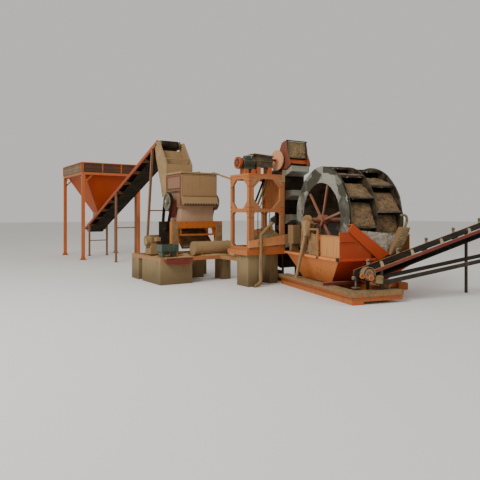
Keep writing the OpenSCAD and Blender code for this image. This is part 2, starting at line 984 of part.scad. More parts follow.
module elevator_buckets() {
    face = lift_drum_r + belt_gap + belt_t;
    n = floor((lift_head_z - lift_boot_z) / lift_pitch);
    color(tan)
        translate([lift_x + lift_w / 2, 0, 0]) {
            for (i = [0:n - 1]) {
                across(lift_band_w)
                    translate([lift_y - face, lift_head_z - bucket_drop - i * lift_pitch])
                        mirror([1, 0])
                            lift_bucket();
                across(lift_band_w)
                    translate([lift_y + face, lift_head_z - bucket_drop - i * lift_pitch])
                        mirror([0, 1])
                            lift_bucket();
            }
            across(lift_band_w)
                translate([lift_y, lift_head_z])
                    rotate(104)
                        translate([face, 0])
                            mirror([0, 1])
                                lift_bucket();
        }
}

// Trough and pipe
module trough() {
    f = tower_front;
    l = tower_x + tower_plate + tower_column + 5;
    r = tower_right - tower_plate - tower_column - 5;
    t = trough_t;
    bed = tower_z + 155;
    box_l = trough_end - 170;
    box_w = 280;
    box_d = 250;
    box_h = 560;
    color(tan) {
        translate([0, f, 0])
            rotate([90, 0, 0])
                linear_extrude(t)
                    polygon([[tower_x - 30, tower_z + 70], [trough_end, tower_z + 145],
                        [trough_end, tower_z + 455], [tower_x - 30, tower_z + 270]]);
        translate([l, f - t, bed])
            cube([r - l, trough_d, t]);
        translate([0, f + trough_d - t, 0])
            rotate([90, 0, 0])
                linear_extrude(t)
                    polygon([[l, bed], [r, bed], [r, tower_z + 670], [l, tower_z + 540]]);
        block([box_l, tank_seat - 45, tank_rim_z + rim_h], [box_l + box_w, tank_seat + 45, bed + 5]);
        translate([box_l, f - t - box_d, bed])
            difference() {
                cube([box_w, box_d, box_h]);
                translate([t, t, t])
                    cube([box_w - 2 * t, box_d, box_h]);
            }
    }
}

module drain_pipe() {
    y = tower_front - trough_t - pipe_r - 5;
    top = tower_z + 440;
    low = pipe_bend + pipe_r;
    color(tan) {
        translate([pipe_x, y, low])
            cylinder(r = pipe_r, h = top - low);
        translate([pipe_x - pipe_bend, y, low])
            rotate([90, 0, 0])
                rotate([0, 0, -90])
                    rotate_extrude(angle = 90)
                        translate([pipe_bend, 0])
                            circle(r = pipe_r);
        translate([pipe_x, y, top])
            sphere(r = pipe_r);
        translate([pipe_x, y, top])
            rotate([0, pipe_lean, 0])
                cylinder(r = pipe_r, h = pipe_reach);
        block([pipe_x - pipe_bend - 60, y - 60, 0], [pipe_x - pipe_bend, y + 60, pipe_r * 0.2]);
        block([pipe_x - 80, y, tower_z + 180], [pipe_x + 80, tower_front - trough_t, tower_z + 230]);
    }
}

// Washer
module tank_solid(grow, top) {
    g = grow;
    hull() {
        translate([tank_left - g, tank_near - g, tank_rim_z])
            cube([wheel_w + 2 * tank_side + 2 * g, tank_far - tank_near + 2 * g, top]);
        translate([-floor_in - g, floor_near - g, tank_floor_z - g])
            cube([wheel_w + 2 * floor_in + 2 * g, floor_far - floor_near + 2 * g, 1]);
    }
}

module tank_lower() {
    color(orange)
        washer_place() {
            difference() {
                tank_solid(0, 1);
                translate([0, 0, tank_plate])
                    tank_solid(-tank_plate, 60);
            }
            difference() {
                block([tank_left - rim_w, tank_near - rim_w, tank_rim_z],
                    [tank_right + rim_w, tank_far + rim_w, tank_rim_z + rim_h]);
                block([tank_left + 30, tank_near + 30, tank_rim_z - 1],
                    [tank_right - 30, tank_far - 30, tank_rim_z + rim_h + 1]);
            }
        }
}

module tank_upper() {
    z = tank_rim_z + rim_h;
    h = 560;
    left_l = 1330;
    right_l = 890;
    t = tank_plate;
    end_w = 450;
    end_h = 650;
    end_low = 255;
    end_top_w = -200;
    color(orange)
        washer_place() {
            translate([0, tank_near - 50 + t, z])
                rotate([90, 0, 0])
                    linear_extrude(t)
                        polygon([[tank_left, 0], [end_w, 0], [end_w, end_low], [end_top_w, end_h],
                            [tank_left, end_h]]);
            block([tank_left, tank_near - 50 + t, z], [tank_left + t, tank_near + left_l, z + h]);
            block([tank_right - t, tank_near + right_l / 2, z], [tank_right, tank_near + right_l, z + h]);
        }
}

module wheel_place() {
    washer_place()
        translate([0, 0, wheel_z])
            rotate([90, 0, 90])
                children();
}

module wheel_rings() {
    color(grey)
        wheel_place() {
            for (x = [0, (wheel_w - wheel_plate) / 2, wheel_w - wheel_plate])
                translate([0, 0, x])
                    linear_extrude(wheel_plate)
                        difference() {
                            circle(r = wheel_r, $fn = 96);
                            circle(r = ring_r, $fn = 96);
                        }
            translate([0, 0, wheel_plate])
                linear_extrude(wheel_w - 2 * wheel_plate)
                    difference() {
                        circle(r = ring_r + wheel_plate, $fn = 96);
                        circle(r = ring_r, $fn = 96);
                    }
        }
}

module wheel_spokes() {
    spoke = [ring_r - axle_r - 1, 60, 45];
    inset = 4;
    hub_l = 200;
    hub_out = 60;
    axle_out = tank_side + 40;
    spoke_phase = 47;
    color(rust)
        wheel_place() {
            translate([0, 0, -axle_out])
                cylinder(r = axle_r, h = wheel_w + 2 * axle_out);
            for (x = [-hub_out, wheel_w + hub_out - hub_l])
                translate([0, 0, x])
                    cylinder(r = axle_r + 90, h = hub_l);
            for (x = [inset, wheel_w - inset - spoke[2]])
                for (i = [0:5])
                    rotate([0, 0, i * 60 + spoke_phase])
                        translate([axle_r, -spoke[1] / 2, x])
                            cube(spoke);
        }
}

// A bucket is a bent plate between two rings: a back on the drum and an outer wall up to its lip
module bucket_outline() {
    step = 360 / bucket_n;
    wall = 30;
    low = ring_r + wheel_plate + 0.6;
    back = -0.96 * step;
    inner = -0.9 * step;
    function at(r, a) = r * [cos(a), sin(a)];
    polygon([at(low, back), at(wheel_r - bucket_mouth, back), at(wheel_r - 4, 0), at(wheel_r - 4 - wall, 0),
        at(wheel_r - bucket_mouth - wall, inner), at(low, inner)]);
}

module wheel_buckets() {
    step = 360 / bucket_n;
    w = (wheel_w - 3 * wheel_plate) / 2;
    color(tan)
        wheel_place()
            for (row = [0, 1])
                for (i = [0:bucket_n - 1])
                    translate([0, 0, wheel_plate + row * (w + wheel_plate)])
                        rotate([0, 0, wheel_phase + i * step + row * step / 2])
                            linear_extrude(w)
                                bucket_outline();
}

module wheel_bearings() {
    z = tank_rim_z + rim_h;
    color(orange)
        washer_place()
            for (x = [tank_left - rim_w + 10, tank_right + rim_w - 10 - bearing_w])
                difference() {
                    union() {
                        translate([x + bearing_w / 2, 0, 0])
                            across(bearing_w)
                                polygon([[-300, z], [-220, z], [-140, wheel_z - 180], [140, wheel_z - 180],
                                    [220, z], [300, z], [200, wheel_z - 90], [-200, wheel_z - 90]]);
                        translate([x + bearing_w / 2, 0, wheel_z])
                            bar_x(axle_r + 55, bearing_w);
                        block([x, -170, wheel_z - 90], [x + bearing_w, 170, wheel_z]);
                    }
                    translate([x, 0, wheel_z])
                        bar_x(axle_r + shaft_gap, 900);
                }
}

module washer_skid() {
    near = -2420;
    far = 1500;
    left = tank_left - 90;
    right = tank_right + 260;
    deck_left = left - 70;
    deck_right = 830;
    near_deck = 270;
    beam_w = 300;
    cross_w = 160;
    cross_h = 120;
    inner_beam = 480;
    h = washer_skid_h;
    top = h + washer_deck_h;
    color(orange)
        washer_place() {
            block([left, near, 0], [left + beam_w, far, h]);
            block([right - beam_w, floor_near - cross_w, 0], [right, far, h]);
            for (y = [floor_near - 60, floor_far - 140, far - 200])
                block([left + beam_w, y, h - cross_h], [right - beam_w, y + cross_w, h]);
            for (y = [near, -1880])
                block([left + beam_w, y, h - cross_h], [deck_right, y + cross_w, h]);
            block([deck_left, near, h], [left + beam_w - 60, far, top]);
            block([left + beam_w - 60, near, h], [deck_right, near + near_deck, top]);
            block([inner_beam, near + near_deck, 0], [inner_beam + cross_w, floor_near - 50, h]);
            block([inner_beam, near + near_deck, h], [inner_beam + cross_w, floor_near - 200, top]);
            for (y = [floor_near, floor_far - 140])
                block([left + 200, y, h], [right - 100, y + 140, tank_floor_z]);
        }
}

module sand_chute() {
    a = tank_near - 50;
    t = 40;
    back_t = 30;
    reach = 150;
    // Outlines across the tank's end, as places along the shaft and heights
    band = [[-240, 1685], [-105, 1850], [960, 1100], [650, 950]];
    slide = [[-119, 1830], [-105, 1850], [945, 1111], [931, 1091]];
    cheek = [[972, 1067], [1282, 1165], [1435, 1360], [1606, 1754], [1383, 1769]];
    side_wall = [[972, 1067], [1383, 1769], [1405, 1757], [994, 1055]];
    back_wall = [[940, 1090], [985, 1075], [1290, 1590], [120, 1690]];
    color(orange)
        washer_place() {
            difference() {
                translate([0, a, 0])
                    rotate([90, 0, 0])
                        linear_extrude(t)
                            polygon(band);
                block([band[0][0], tank_near - rim_w, 0], [band[2][0], a + 1, tank_rim_z + rim_h]);
            }
            translate([0, a, 0])
                rotate([90, 0, 0])
                    linear_extrude(t)
                        polygon(cheek);
            translate([0, a + reach, 0])
                rotate([90, 0, 0]) {
                    linear_extrude(reach + t) {
                        polygon(slide);
                        polygon(side_wall);
                    }
                    linear_extrude(back_t)
                        polygon(back_wall);
                }
        }
}

// Discharge conveyor
module discharge_stringers() {
    color(maroon)
        discharge_place()
            for (s = [-1, 1])
                difference() {
                    translate([-60, s * (dis_frame_w - dis_stringer_w) / 2 - dis_stringer_w / 2, 0]) {
                        translate([0, 0, dis_drum_r - dis_stringer_h])
                            cube([dis_run + 120, dis_stringer_w, dis_stringer_h]);
                        for (x = [-20, dis_run])
                            translate([x, 0, -60])
                                cube([140, dis_stringer_w, dis_drum_r]);
                    }
                    rotate([0, 0, 90])
                        bar_x(30 + shaft_gap, 2 * dis_frame_w);
                    translate([dis_run, 0, 0])
                        rotate([0, 0, 90])
                            bar_x(30 + shaft_gap, 2 * dis_frame_w);
                }
}

module discharge_belt() {
    color(dark)
        discharge_place()
            rotate([90, 0, 0])
                translate([0, 0, -dis_belt_w / 2])
                    linear_extrude(dis_belt_w)
                        band_ring([0, 0], dis_drum_r + belt_gap, [dis_run, 0], dis_drum_r + belt_gap,
                            belt_t);
}

module discharge_tail_drum() {
    color(grey)
        discharge_place()
            rotate([0, 0, 90])
                belt_drum(dis_drum_r, dis_frame_w - 2 * dis_stringer_w - 30, 30, dis_frame_w + 120);
}

module discharge_legs() {
    low = dis_drum_r - dis_stringer_h;
    off = (dis_frame_w - dis_stringer_w) / 2;
    leg_w = 70;
    // Place along the belt, then the height that the far and the near leg stand on
    legs = [[300, washer_skid_h, washer_skid_h + washer_deck_h], [0.52 * dis_run, 0, 0],
        [dis_run - 500, 0, 0]];
    rail_w = 30;
    rail_h = 100;
    rail_start = dis_tail_x + legs[0][0] * cos(dis_slope) + leg_w / 2;
    rail_end = dis_tail_x + legs[2][0] * cos(dis_slope) + leg_w / 2;
    rail_z = dis_tail_z - 220;
    color(dark) {
        discharge_place()
            for (x = [800:1000:dis_run - 400])
                translate([x, dis_stringer_w - dis_frame_w / 2, low])
                    cube([60, dis_frame_w - 2 * dis_stringer_w, 50]);
        washer_place()
            for (s = [-1, 1])
                translate([0, dis_y + s * off + rail_w / 2, 0])
                    rotate([90, 0, 0])
                        linear_extrude(rail_w)
                            polygon([[rail_start, rail_z], [rail_end, rail_z + (rail_end - rail_start)
                                * tan(dis_slope / 2)], [rail_end, rail_z + rail_h + (rail_end - rail_start)
                                * tan(dis_slope / 2)], [rail_start, rail_z + rail_h]]);
        difference() {
            washer_place()
                for (u = legs)
                    for (s = [-1, 1]) {
                        foot = s < 0 ? u[2] : u[1];
                        translate([dis_tail_x + u[0] * cos(dis_slope), dis_y + s * off - dis_stringer_w / 2,
                            foot])
                            cube([leg_w, dis_stringer_w, dis_tail_z + u[0] * sin(dis_slope) + 100 - foot]);
                    }
            discharge_place()
                translate([-dis_run, -dis_run, low])
                    cube([3 * dis_run, 2 * dis_run, dis_run]);
        }
    }
}

hopper_cone();
hopper_walls();
hopper_top_frame();
hopper_legs();
hopper_skirt();
feed_stringers();
feed_cross_members();
feed_belt();
feed_head_drum();
feed_tail_drum();
feed_idlers();
feed_legs();
head_chute();
crusher_upper_body();
crusher_hood();
crusher_lid();
crusher_lower_body();
rotor_shaft();
flywheel_left();
flywheel_right();
rotor_bearings();
crusher_frame();
crusher_motor();
motor_pulley();
drive_belts();
discharge_screen();
roll_drum();
side_tubs();
crusher_skid();
crusher_piers();
tower_sides();
tower_cross_frames();
tower_base();
tower_piers();
tower_deck();
deck_motor();
deck_gearbox();
tie_pole();
elevator_frame();
elevator_head_drum();
elevator_disc();
elevator_band();
elevator_buckets();
trough();
drain_pipe();
tank_lower();
tank_upper();
wheel_rings();
wheel_spokes();
wheel_buckets();
wheel_bearings();
washer_skid();
sand_chute();
discharge_stringers();
discharge_belt();
discharge_tail_drum();
discharge_legs();
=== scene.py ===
import math
import random
from contextlib import contextmanager

import bmesh
import bpy
from bpy.props import FloatProperty, FloatVectorProperty, IntProperty, PointerProperty
from mathutils import Matrix, Vector, noise


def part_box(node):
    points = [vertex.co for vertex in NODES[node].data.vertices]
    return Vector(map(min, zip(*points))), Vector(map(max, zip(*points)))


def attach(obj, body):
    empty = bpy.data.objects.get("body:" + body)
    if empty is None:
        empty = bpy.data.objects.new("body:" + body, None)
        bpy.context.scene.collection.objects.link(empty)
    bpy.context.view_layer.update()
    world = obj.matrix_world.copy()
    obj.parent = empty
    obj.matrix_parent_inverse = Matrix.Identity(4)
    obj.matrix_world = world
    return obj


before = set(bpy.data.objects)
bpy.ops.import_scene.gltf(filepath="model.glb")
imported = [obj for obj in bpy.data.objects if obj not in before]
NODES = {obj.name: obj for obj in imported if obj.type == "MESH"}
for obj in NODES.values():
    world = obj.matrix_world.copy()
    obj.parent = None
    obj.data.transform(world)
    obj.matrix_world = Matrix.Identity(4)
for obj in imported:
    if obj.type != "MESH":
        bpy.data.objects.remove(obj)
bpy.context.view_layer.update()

bl_info = {
    "name": "Crushing and washing line",
    "version": (1, 0, 0),
    "blender": (4, 5, 0),
    "location": "View3D > Sidebar > Crushing line",
    "description": "Dresses the crushing and sand washing line with its fittings and finishes",
    "category": "Object",
}

X, Y, Z = range(3)
QUARTER = math.pi / 2
DUST = (0.33, 0.2, 0.085)
BROWN_DUST = (0.21, 0.135, 0.06)
RUST = (0.1, 0.034, 0.014)


# Sizes and colours that a user may change
def length(name, description, metres):
    return FloatProperty(name=name, description=description, unit="LENGTH", default=metres)


def angle(name, description, degrees):
    return FloatProperty(name=name, description=description, subtype="ANGLE", default=math.radians(degrees))


def tone(name, description, default):
    return FloatVectorProperty(name=name, description=description, subtype="COLOR", size=3, min=0, max=1,
                               default=default)


class PLANT_PG_colours(bpy.types.PropertyGroup):
    orange: tone("Orange", "Colour of the main orange paint", (0.46, 0.11, 0.027))
    floor: tone("Floor", "Colour of the studio floor", (0.78, 0.76, 0.73))


class PLANT_PG_feed(bpy.types.PropertyGroup):
    post_gap: length("Post spacing", "Distance between the hopper's guard posts", 0.92)


class PLANT_PG_washer(bpy.types.PropertyGroup):
    place_x: length("Place X", "Place of the wheel's near side", 1.696)
    place_y: length("Place Y", "Place of the wheel's shaft", -4.536)
    turn: angle("Turn", "Turn of the washer against the line", -13)
    axis_z: length("Shaft height", "Height of the wheel's shaft", 1.92)
    radius: length("Wheel radius", "Outer radius of the bucket wheel", 1.5)
    ring: length("Ring radius", "Inner radius of the side rings", 1.04)
    width: length("Wheel width", "Width of the bucket wheel", 1.55)
    buckets: IntProperty(name="Buckets", description="Buckets in one row", default=12, min=8, max=16)
    phase: angle("Phase", "Turn of the first lip at rest", 6.5)
    mouth: length("Mouth", "Width of a bucket's mouth", 0.23)
    rim_z: length("Rim height", "Height of the tank's rim", 1.0)


class PLANT_PG_discharge(bpy.types.PropertyGroup):
    tail_x: length("Tail place", "Place of the tail drum along the shaft", -0.04)
    middle_y: length("Middle", "Place of the belt's middle", -2.07)
    tail_z: length("Tail height", "Height of the tail drum's axis", 0.64)
    slope: angle("Slope", "Slope of the discharge belt", 16)
    idlers: IntProperty(name="Idlers", description="Number of idler sets under the belt", default=7, min=2, max=12)


SIZES = {"line_colours": PLANT_PG_colours, "feed_sizes": PLANT_PG_feed, "washer_sizes": PLANT_PG_washer,
         "discharge_sizes": PLANT_PG_discharge}


# Places
def at(*point):
    return Matrix.Translation(point)


def turned(axis, radians):
    return Matrix.Rotation(radians, 4, axis)


def facing(point, direction):
    """Place whose local Z points along a direction."""
    return at(*point) @ Vector(direction).to_track_quat("Z", "Y").to_matrix().to_4x4()


def washer_frame():
    """Under the washer: x along the wheel's shaft, y away from its near end, z up."""
    s = bpy.context.scene.washer_sizes
    return at(s.place_x, s.place_y, 0) @ turned("Z", s.turn)


def discharge_frame():
    """Along the discharge belt: x up the slope from the tail drum, z square to the belt."""
    s = bpy.context.scene.discharge_sizes
    return washer_frame() @ at(s.tail_x, s.middle_y, s.tail_z) @ turned("Y", -s.slope)


def around_wheel(radians):
    """Place on the wheel, turned round its shaft; local X is outwards and local Z along the shaft."""
    lift = at(0, 0, bpy.context.scene.washer_sizes.axis_z)
    return washer_frame() @ lift @ turned("Z", QUARTER) @ turned("X", QUARTER) @ turned("Z", radians)


# Modelling helpers
def activate(obj):
    bpy.ops.object.select_all(action="DESELECT")
    obj.select_set(True)
    bpy.context.view_layer.objects.active = obj


def apply_place(obj):
    activate(obj)
    bpy.ops.object.transform_apply(location=True, rotation=True, scale=True)
    return obj


def apply_modifiers(obj):
    activate(obj)
    for modifier in list(obj.modifiers):
        bpy.ops.object.modifier_apply(modifier=modifier.name)
    return obj


def put_in(obj, matrix):
    """Moves a piece from the frame that it was modelled in to its place in the plant."""
    obj.matrix_world = matrix @ obj.matrix_world
    bpy.context.view_layer.update()
    return apply_place(obj)


@contextmanager
def edit(obj, select="DESELECT", kind="FACE"):
    """Edit mode on one piece, with nothing or, for SELECT, all of it selected."""
    activate(obj)
    bpy.ops.object.mode_set(mode="EDIT")
    bpy.ops.mesh.select_mode(type=kind)
    bpy.ops.mesh.select_all(action=select)
    yield
    bpy.ops.object.mode_set(mode="OBJECT")


def pick(test):
    """Selects the faces of the edited piece whose normal passes the test."""
    mesh = bpy.context.object.data
    bpy.ops.mesh.select_all(action="DESELECT")
    bm = bmesh.from_edit_mesh(mesh)
    for face in bm.faces:
        face.select_set(test(face.normal))
    bmesh.update_edit_mesh(mesh)


def pick_side(axis, side):
    """Selects the faces that look along an axis: side is 1 or -1, or 0 for both ways."""
    pick(lambda n: (n[axis] * side if side else abs(n[axis])) > 0.9)


def push(x, y, z):
    bpy.ops.mesh.extrude_region_move(TRANSFORM_OT_translate={"value": (x, y, z)})


def recess(obj, axis, side, insets, depth=None):
    """Insets the faces that look along an axis, once or more, and moves the middle along the axis."""
    with edit(obj):
        pick_side(axis, side)
        for inset in insets if isinstance(insets, tuple) else (insets,):
            bpy.ops.mesh.inset(thickness=inset)
            if depth is not None:
                push(*(depth if i == axis else 0 for i in (X, Y, Z)))
    return obj


def divide(obj, cuts, rounds=0):
    """Cuts a piece's faces up, and rounds it off a little each round."""
    with edit(obj, "SELECT"):
        bpy.ops.mesh.subdivide(number_cuts=cuts)
        if rounds:
            bpy.ops.mesh.vertices_smooth(factor=0.5, repeat=rounds)
    return obj


def extrude_all(obj, shift, flat_at=None):
    """Makes a sheet a closed body, with a flat underside where its height is given."""
    with edit(obj, "SELECT"):
        push(*shift)
        if flat_at is not None:
            bpy.ops.transform.resize(value=(1, 1, 0), center_override=(0, 0, flat_at))
    return mend_normals(obj)


def mend_normals(obj):
    with edit(obj, "SELECT"):
        bpy.ops.mesh.normals_make_consistent(inside=False)
    return obj


def soften(obj, width=0.006, segments=1):
    """Rounds the piece's sharp edges a little."""
    rounding = obj.modifiers.new("rounding", "BEVEL")
    rounding.width = width
    rounding.segments = segments
    rounding.limit_method = "ANGLE"
    rounding.angle_limit = math.radians(40)
    return apply_modifiers(obj)


def thicken(obj, thickness, offset=0.0):
    wall = obj.modifiers.new("wall", "SOLIDIFY")
    wall.thickness = thickness
    wall.offset = offset
    return apply_modifiers(obj)


def roughen(obj, amount, scale, seed=0.0):
    """Pushes the piece's points about a little, so that its edges are no longer straight."""
    for v in obj.data.vertices:
        p = v.co * scale + Vector((seed, seed, seed))
        v.co += amount * Vector([noise.noise(p + Vector(shift)) for shift in ((0, 0, 0), (9, 0, 0), (0, 9, 0))])
    return obj


def lumps(point, scale, strength, seed=0.0):
    return strength * noise.fractal(Vector(point) * scale + Vector((seed, seed, seed)), 1.0, 2.0, 4)


def ease(u, steepness):
    """0 at both ends of a run from 0 to 1, and 1 between them."""
    return min(1.0, min(u, 1 - u) * steepness)


def new_box(a, b, soft=None):
    """Box between two opposite corners."""
    low = Vector(map(min, a, b))
    high = Vector(map(max, a, b))
    bpy.ops.mesh.primitive_cube_add(size=1, location=(low + high) / 2, scale=high - low)
    box = apply_place(bpy.context.object)
    return soften(box, soft) if soft else box


def new_rod(start, end, radius, sides=20):
    start, end = Vector(start), Vector(end)
    along = end - start
    bpy.ops.mesh.primitive_cylinder_add(vertices=sides, radius=radius, depth=along.length,
                                        location=(start + end) / 2,
                                        rotation=along.to_track_quat("Z", "Y").to_euler())
    return apply_place(bpy.context.object)


def new_beam(start, end, width, depth, side=(1, 0, 0), soft=None):
    """Square-cut bar between two points; side is the direction that its width lies along."""
    start, end = Vector(start), Vector(end)
    along = (end - start).normalized()
    across = (Vector(side) - along * along.dot(Vector(side))).normalized()
    turn = Matrix((across, along.cross(across), along)).transposed().to_4x4()
    bpy.ops.mesh.primitive_cube_add(size=1)
    size = Matrix.Diagonal((width, depth, (end - start).length, 1))
    beam = put_in(bpy.context.object, Matrix.Translation((start + end) / 2) @ turn @ size)
    return soften(beam, soft) if soft else beam


def new_plate(outline, thickness):
    """Plate from an outline drawn as (x, z), with its thickness along Y."""
    bpy.ops.mesh.primitive_circle_add(vertices=len(outline), radius=1, fill_type="NGON")
    plate = bpy.context.object
    for v, (x, z) in zip(plate.data.vertices, outline):
        v.co = (x, 0, z)
    return extrude_all(plate, (0, thickness, 0))


def new_ring(outer, inner, depth, sides=40):
    """Flat ring round local Z, with its thickness shared to both sides of Z = 0."""
    bpy.ops.mesh.primitive_circle_add(vertices=sides, radius=outer)
    ring = bpy.context.object
    with edit(ring, "SELECT", "EDGE"):
        bpy.ops.mesh.extrude_edges_move()
        bpy.ops.transform.resize(value=(inner / outer, inner / outer, 1), center_override=(0, 0, 0))
    return mend_normals(thicken(ring, depth))


def new_sheet(columns, rows, surface):
    """Grid of points bent to a surface given by surface(u, v) for u and v from 0 to 1."""
    bpy.ops.mesh.primitive_grid_add(x_subdivisions=columns, y_subdivisions=rows, size=1)
    sheet = bpy.context.object
    for v in sheet.data.vertices:
        v.co = surface(v.co.x + 0.5, v.co.y + 0.5)
    return sheet


def drift(low, high, top, seed, columns=36, rows=14):
    """Low heap of dust or sand that lies on a flat place."""
    def surface(u, v):
        x = low[0] + (high[0] - low[0]) * u
        y = low[1] + (high[1] - low[1]) * v
        edge = min(u, 1 - u, 0.25) * min(v, 1 - v, 0.25) * 16
        rise = (0.35 + 0.65 * noise.noise(Vector((x * 2.1, y * 2.1, seed)))) + lumps((x, y, 0), 9, 0.15, seed)
        return Vector((x, y, low[2] + 0.003 + max(0.0, rise) * edge * top))
    return extrude_all(new_sheet(columns, rows, surface), (0, 0, -0.002))


def join(name, parts):
    activate(parts[0])
    for part in parts:
        part.select_set(True)
    if len(parts) > 1:
        bpy.ops.object.join()
    obj = bpy.context.object
    obj.name = name
    obj.data.name = name
    return apply_place(obj)


def repeat(name, model, places):
    """Copies a model to each place, each copy with its own mesh, and joins them."""
    parts = []
    for place in places:
        copy = model.copy()
        copy.data = model.data.copy()
        bpy.context.scene.collection.objects.link(copy)
        copy.matrix_world = place @ model.matrix_world
        parts.append(copy)
    bpy.data.objects.remove(model)
    bpy.context.view_layer.update()
    return join(name, parts)


def piece(name, parts, finish, place=None, round_off=False, body="plant"):
    """Joins parts to one finished piece in its place, on the body that it rides on."""
    obj = join(name, parts)
    if place:
        put_in(obj, place)
    obj.data.materials.clear()
    obj.data.materials.append(MATERIALS[finish])
    if round_off or finish in LOOSE:
        activate(obj)
        bpy.ops.object.shade_smooth_by_angle(angle=math.radians(35))
    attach(obj, body)


def bolts(name, size, places, finish="rusty"):
    """Hexagon heads on washers, each standing on Z = 0 of its place."""
    bpy.ops.mesh.primitive_cylinder_add(vertices=12, radius=size * 1.35, depth=size * 0.25,
                                        location=(0, 0, size * 0.125))
    model = apply_place(bpy.context.object)
    with edit(model):
        pick_side(Z, 1)
        bpy.ops.mesh.inset(thickness=size * 0.45)
        push(0, 0, size * 0.75)
        bpy.ops.mesh.inset(thickness=size * 0.12)
    piece(name, [repeat(name, model, places)], finish)


# Shader nodes
class Wire:
    """Output of a shader node that takes part in sums, differences, products and quotients."""

    def __init__(self, sketch, socket):
        self.sketch = sketch
        self.socket = socket

    def __add__(self, other):
        return self.sketch.math("ADD", self, other)

    def __radd__(self, other):
        return self.sketch.math("ADD", other, self)

    def __sub__(self, other):
        return self.sketch.math("SUBTRACT", self, other)

    def __rsub__(self, other):
        return self.sketch.math("SUBTRACT", other, self)

    def __mul__(self, other):
        return self.sketch.math("MULTIPLY", self, other)

    def __truediv__(self, other):
        return self.sketch.math("DIVIDE", self, other)


class Sketch:
    """Short way to add and join nodes in one tree."""

    def __init__(self, tree):
        self.tree = tree

    def node(self, kind, settings=None, **inputs):
        """Adds a node; its inputs go by name, with _ for a space, or by i and a number."""
        node = self.tree.nodes.new(kind)
        for key, value in (settings or {}).items():
            setattr(node, key, value)
        for key, value in inputs.items():
            numbered = key[0] == "i" and key[1:].isdigit()
            self.feed(value, node.inputs[int(key[1:]) if numbered else key.replace("_", " ")])
        return node

    def wire(self, kind, settings=None, output=0, **inputs):
        return Wire(self, self.node(kind, settings, **inputs).outputs[output])

    def feed(self, value, socket):
        if isinstance(value, Wire):
            self.tree.links.new(value.socket, socket)
        else:
            plain_colour = socket.type == "RGBA" and len(value) == 3
            socket.default_value = (*value, 1.0) if plain_colour else value

    def math(self, operation, a, b=0.0, clamp=False):
        return self.wire("ShaderNodeMath", {"operation": operation, "use_clamp": clamp}, i0=a, i1=b)

    def mix(self, factor, a, b, blend="MIX"):
        return self.wire("ShaderNodeMix", {"data_type": "RGBA", "blend_type": blend}, 2, i0=factor, i6=a, i7=b)

    def ramp(self, value, low, high):
        """0 below low, 1 above high, with a smooth step between them."""
        return self.wire("ShaderNodeMapRange", {"interpolation_type": "SMOOTHSTEP"}, i0=value, i1=low, i2=high)

    def noise(self, vector, scale, detail=4.0, rough=0.6):
        return self.wire("ShaderNodeTexNoise", Vector=vector, Scale=scale, Detail=detail, Roughness=rough)

    def stretched(self, vector, scale):
        return self.wire("ShaderNodeMapping", Vector=vector, Scale=scale)

    def place(self, output="Object"):
        return self.wire("ShaderNodeTexCoord", output=output)

    def split(self, vector):
        return [Wire(self, part) for part in self.node("ShaderNodeSeparateXYZ", i0=vector).outputs]

    def shade(self, colour, light):
        """Colour times a brightness."""
        grey = self.wire("ShaderNodeCombineColor", i0=light, i1=light, i2=light)
        return self.mix(1.0, colour, grey, "MULTIPLY")

    def use(self, build, **inputs):
        """Places a shared node group and gives its outputs by name."""
        if build not in GROUPS:
            GROUPS[build] = build()
        node = self.node("ShaderNodeGroup", {"node_tree": GROUPS[build]}, **inputs)
        return {output.name: Wire(self, output) for output in node.outputs}


class Finish(Sketch):
    """Material whose looks are sketched and then joined to its shader."""

    def __init__(self, name):
        self.material = bpy.data.materials.new(name)
        self.material.use_nodes = True
        super().__init__(self.material.node_tree)

    def done(self, colour, roughness, height=None, relief=0.004, strength=0.5, metallic=0.0, specular=0.5):
        inputs = self.tree.nodes["Principled BSDF"].inputs
        if height is not None:
            bump = self.wire("ShaderNodeBump", Strength=strength, Distance=relief, Height=height)
            self.feed(bump, inputs["Normal"])
        for label, value in (("Base Color", colour), ("Roughness", roughness), ("Metallic", metallic),
                             ("Specular IOR Level", specular)):
            self.feed(value, inputs[label])
        return self.material


GROUPS = {}
MATERIALS = {}


def new_group(name, inputs, outputs):
    """Empty node group, with its sketch, its inputs by name and its output sockets."""
    tree = bpy.data.node_groups.new(name, "ShaderNodeTree")
    kinds = {True: "NodeSocketColor", False: "NodeSocketFloat"}
    for label, value in inputs.items():
        socket = tree.interface.new_socket(name=label, in_out="INPUT", socket_type=kinds[isinstance(value, tuple)])
        socket.default_value = value
    for label in outputs:
        tree.interface.new_socket(name=label, in_out="OUTPUT", socket_type=kinds[label == "Color"])
    k = Sketch(tree)
    given = {socket.name: Wire(k, socket) for socket in tree.nodes.new("NodeGroupInput").outputs}
    return tree, k, given, tree.nodes.new("NodeGroupOutput").inputs


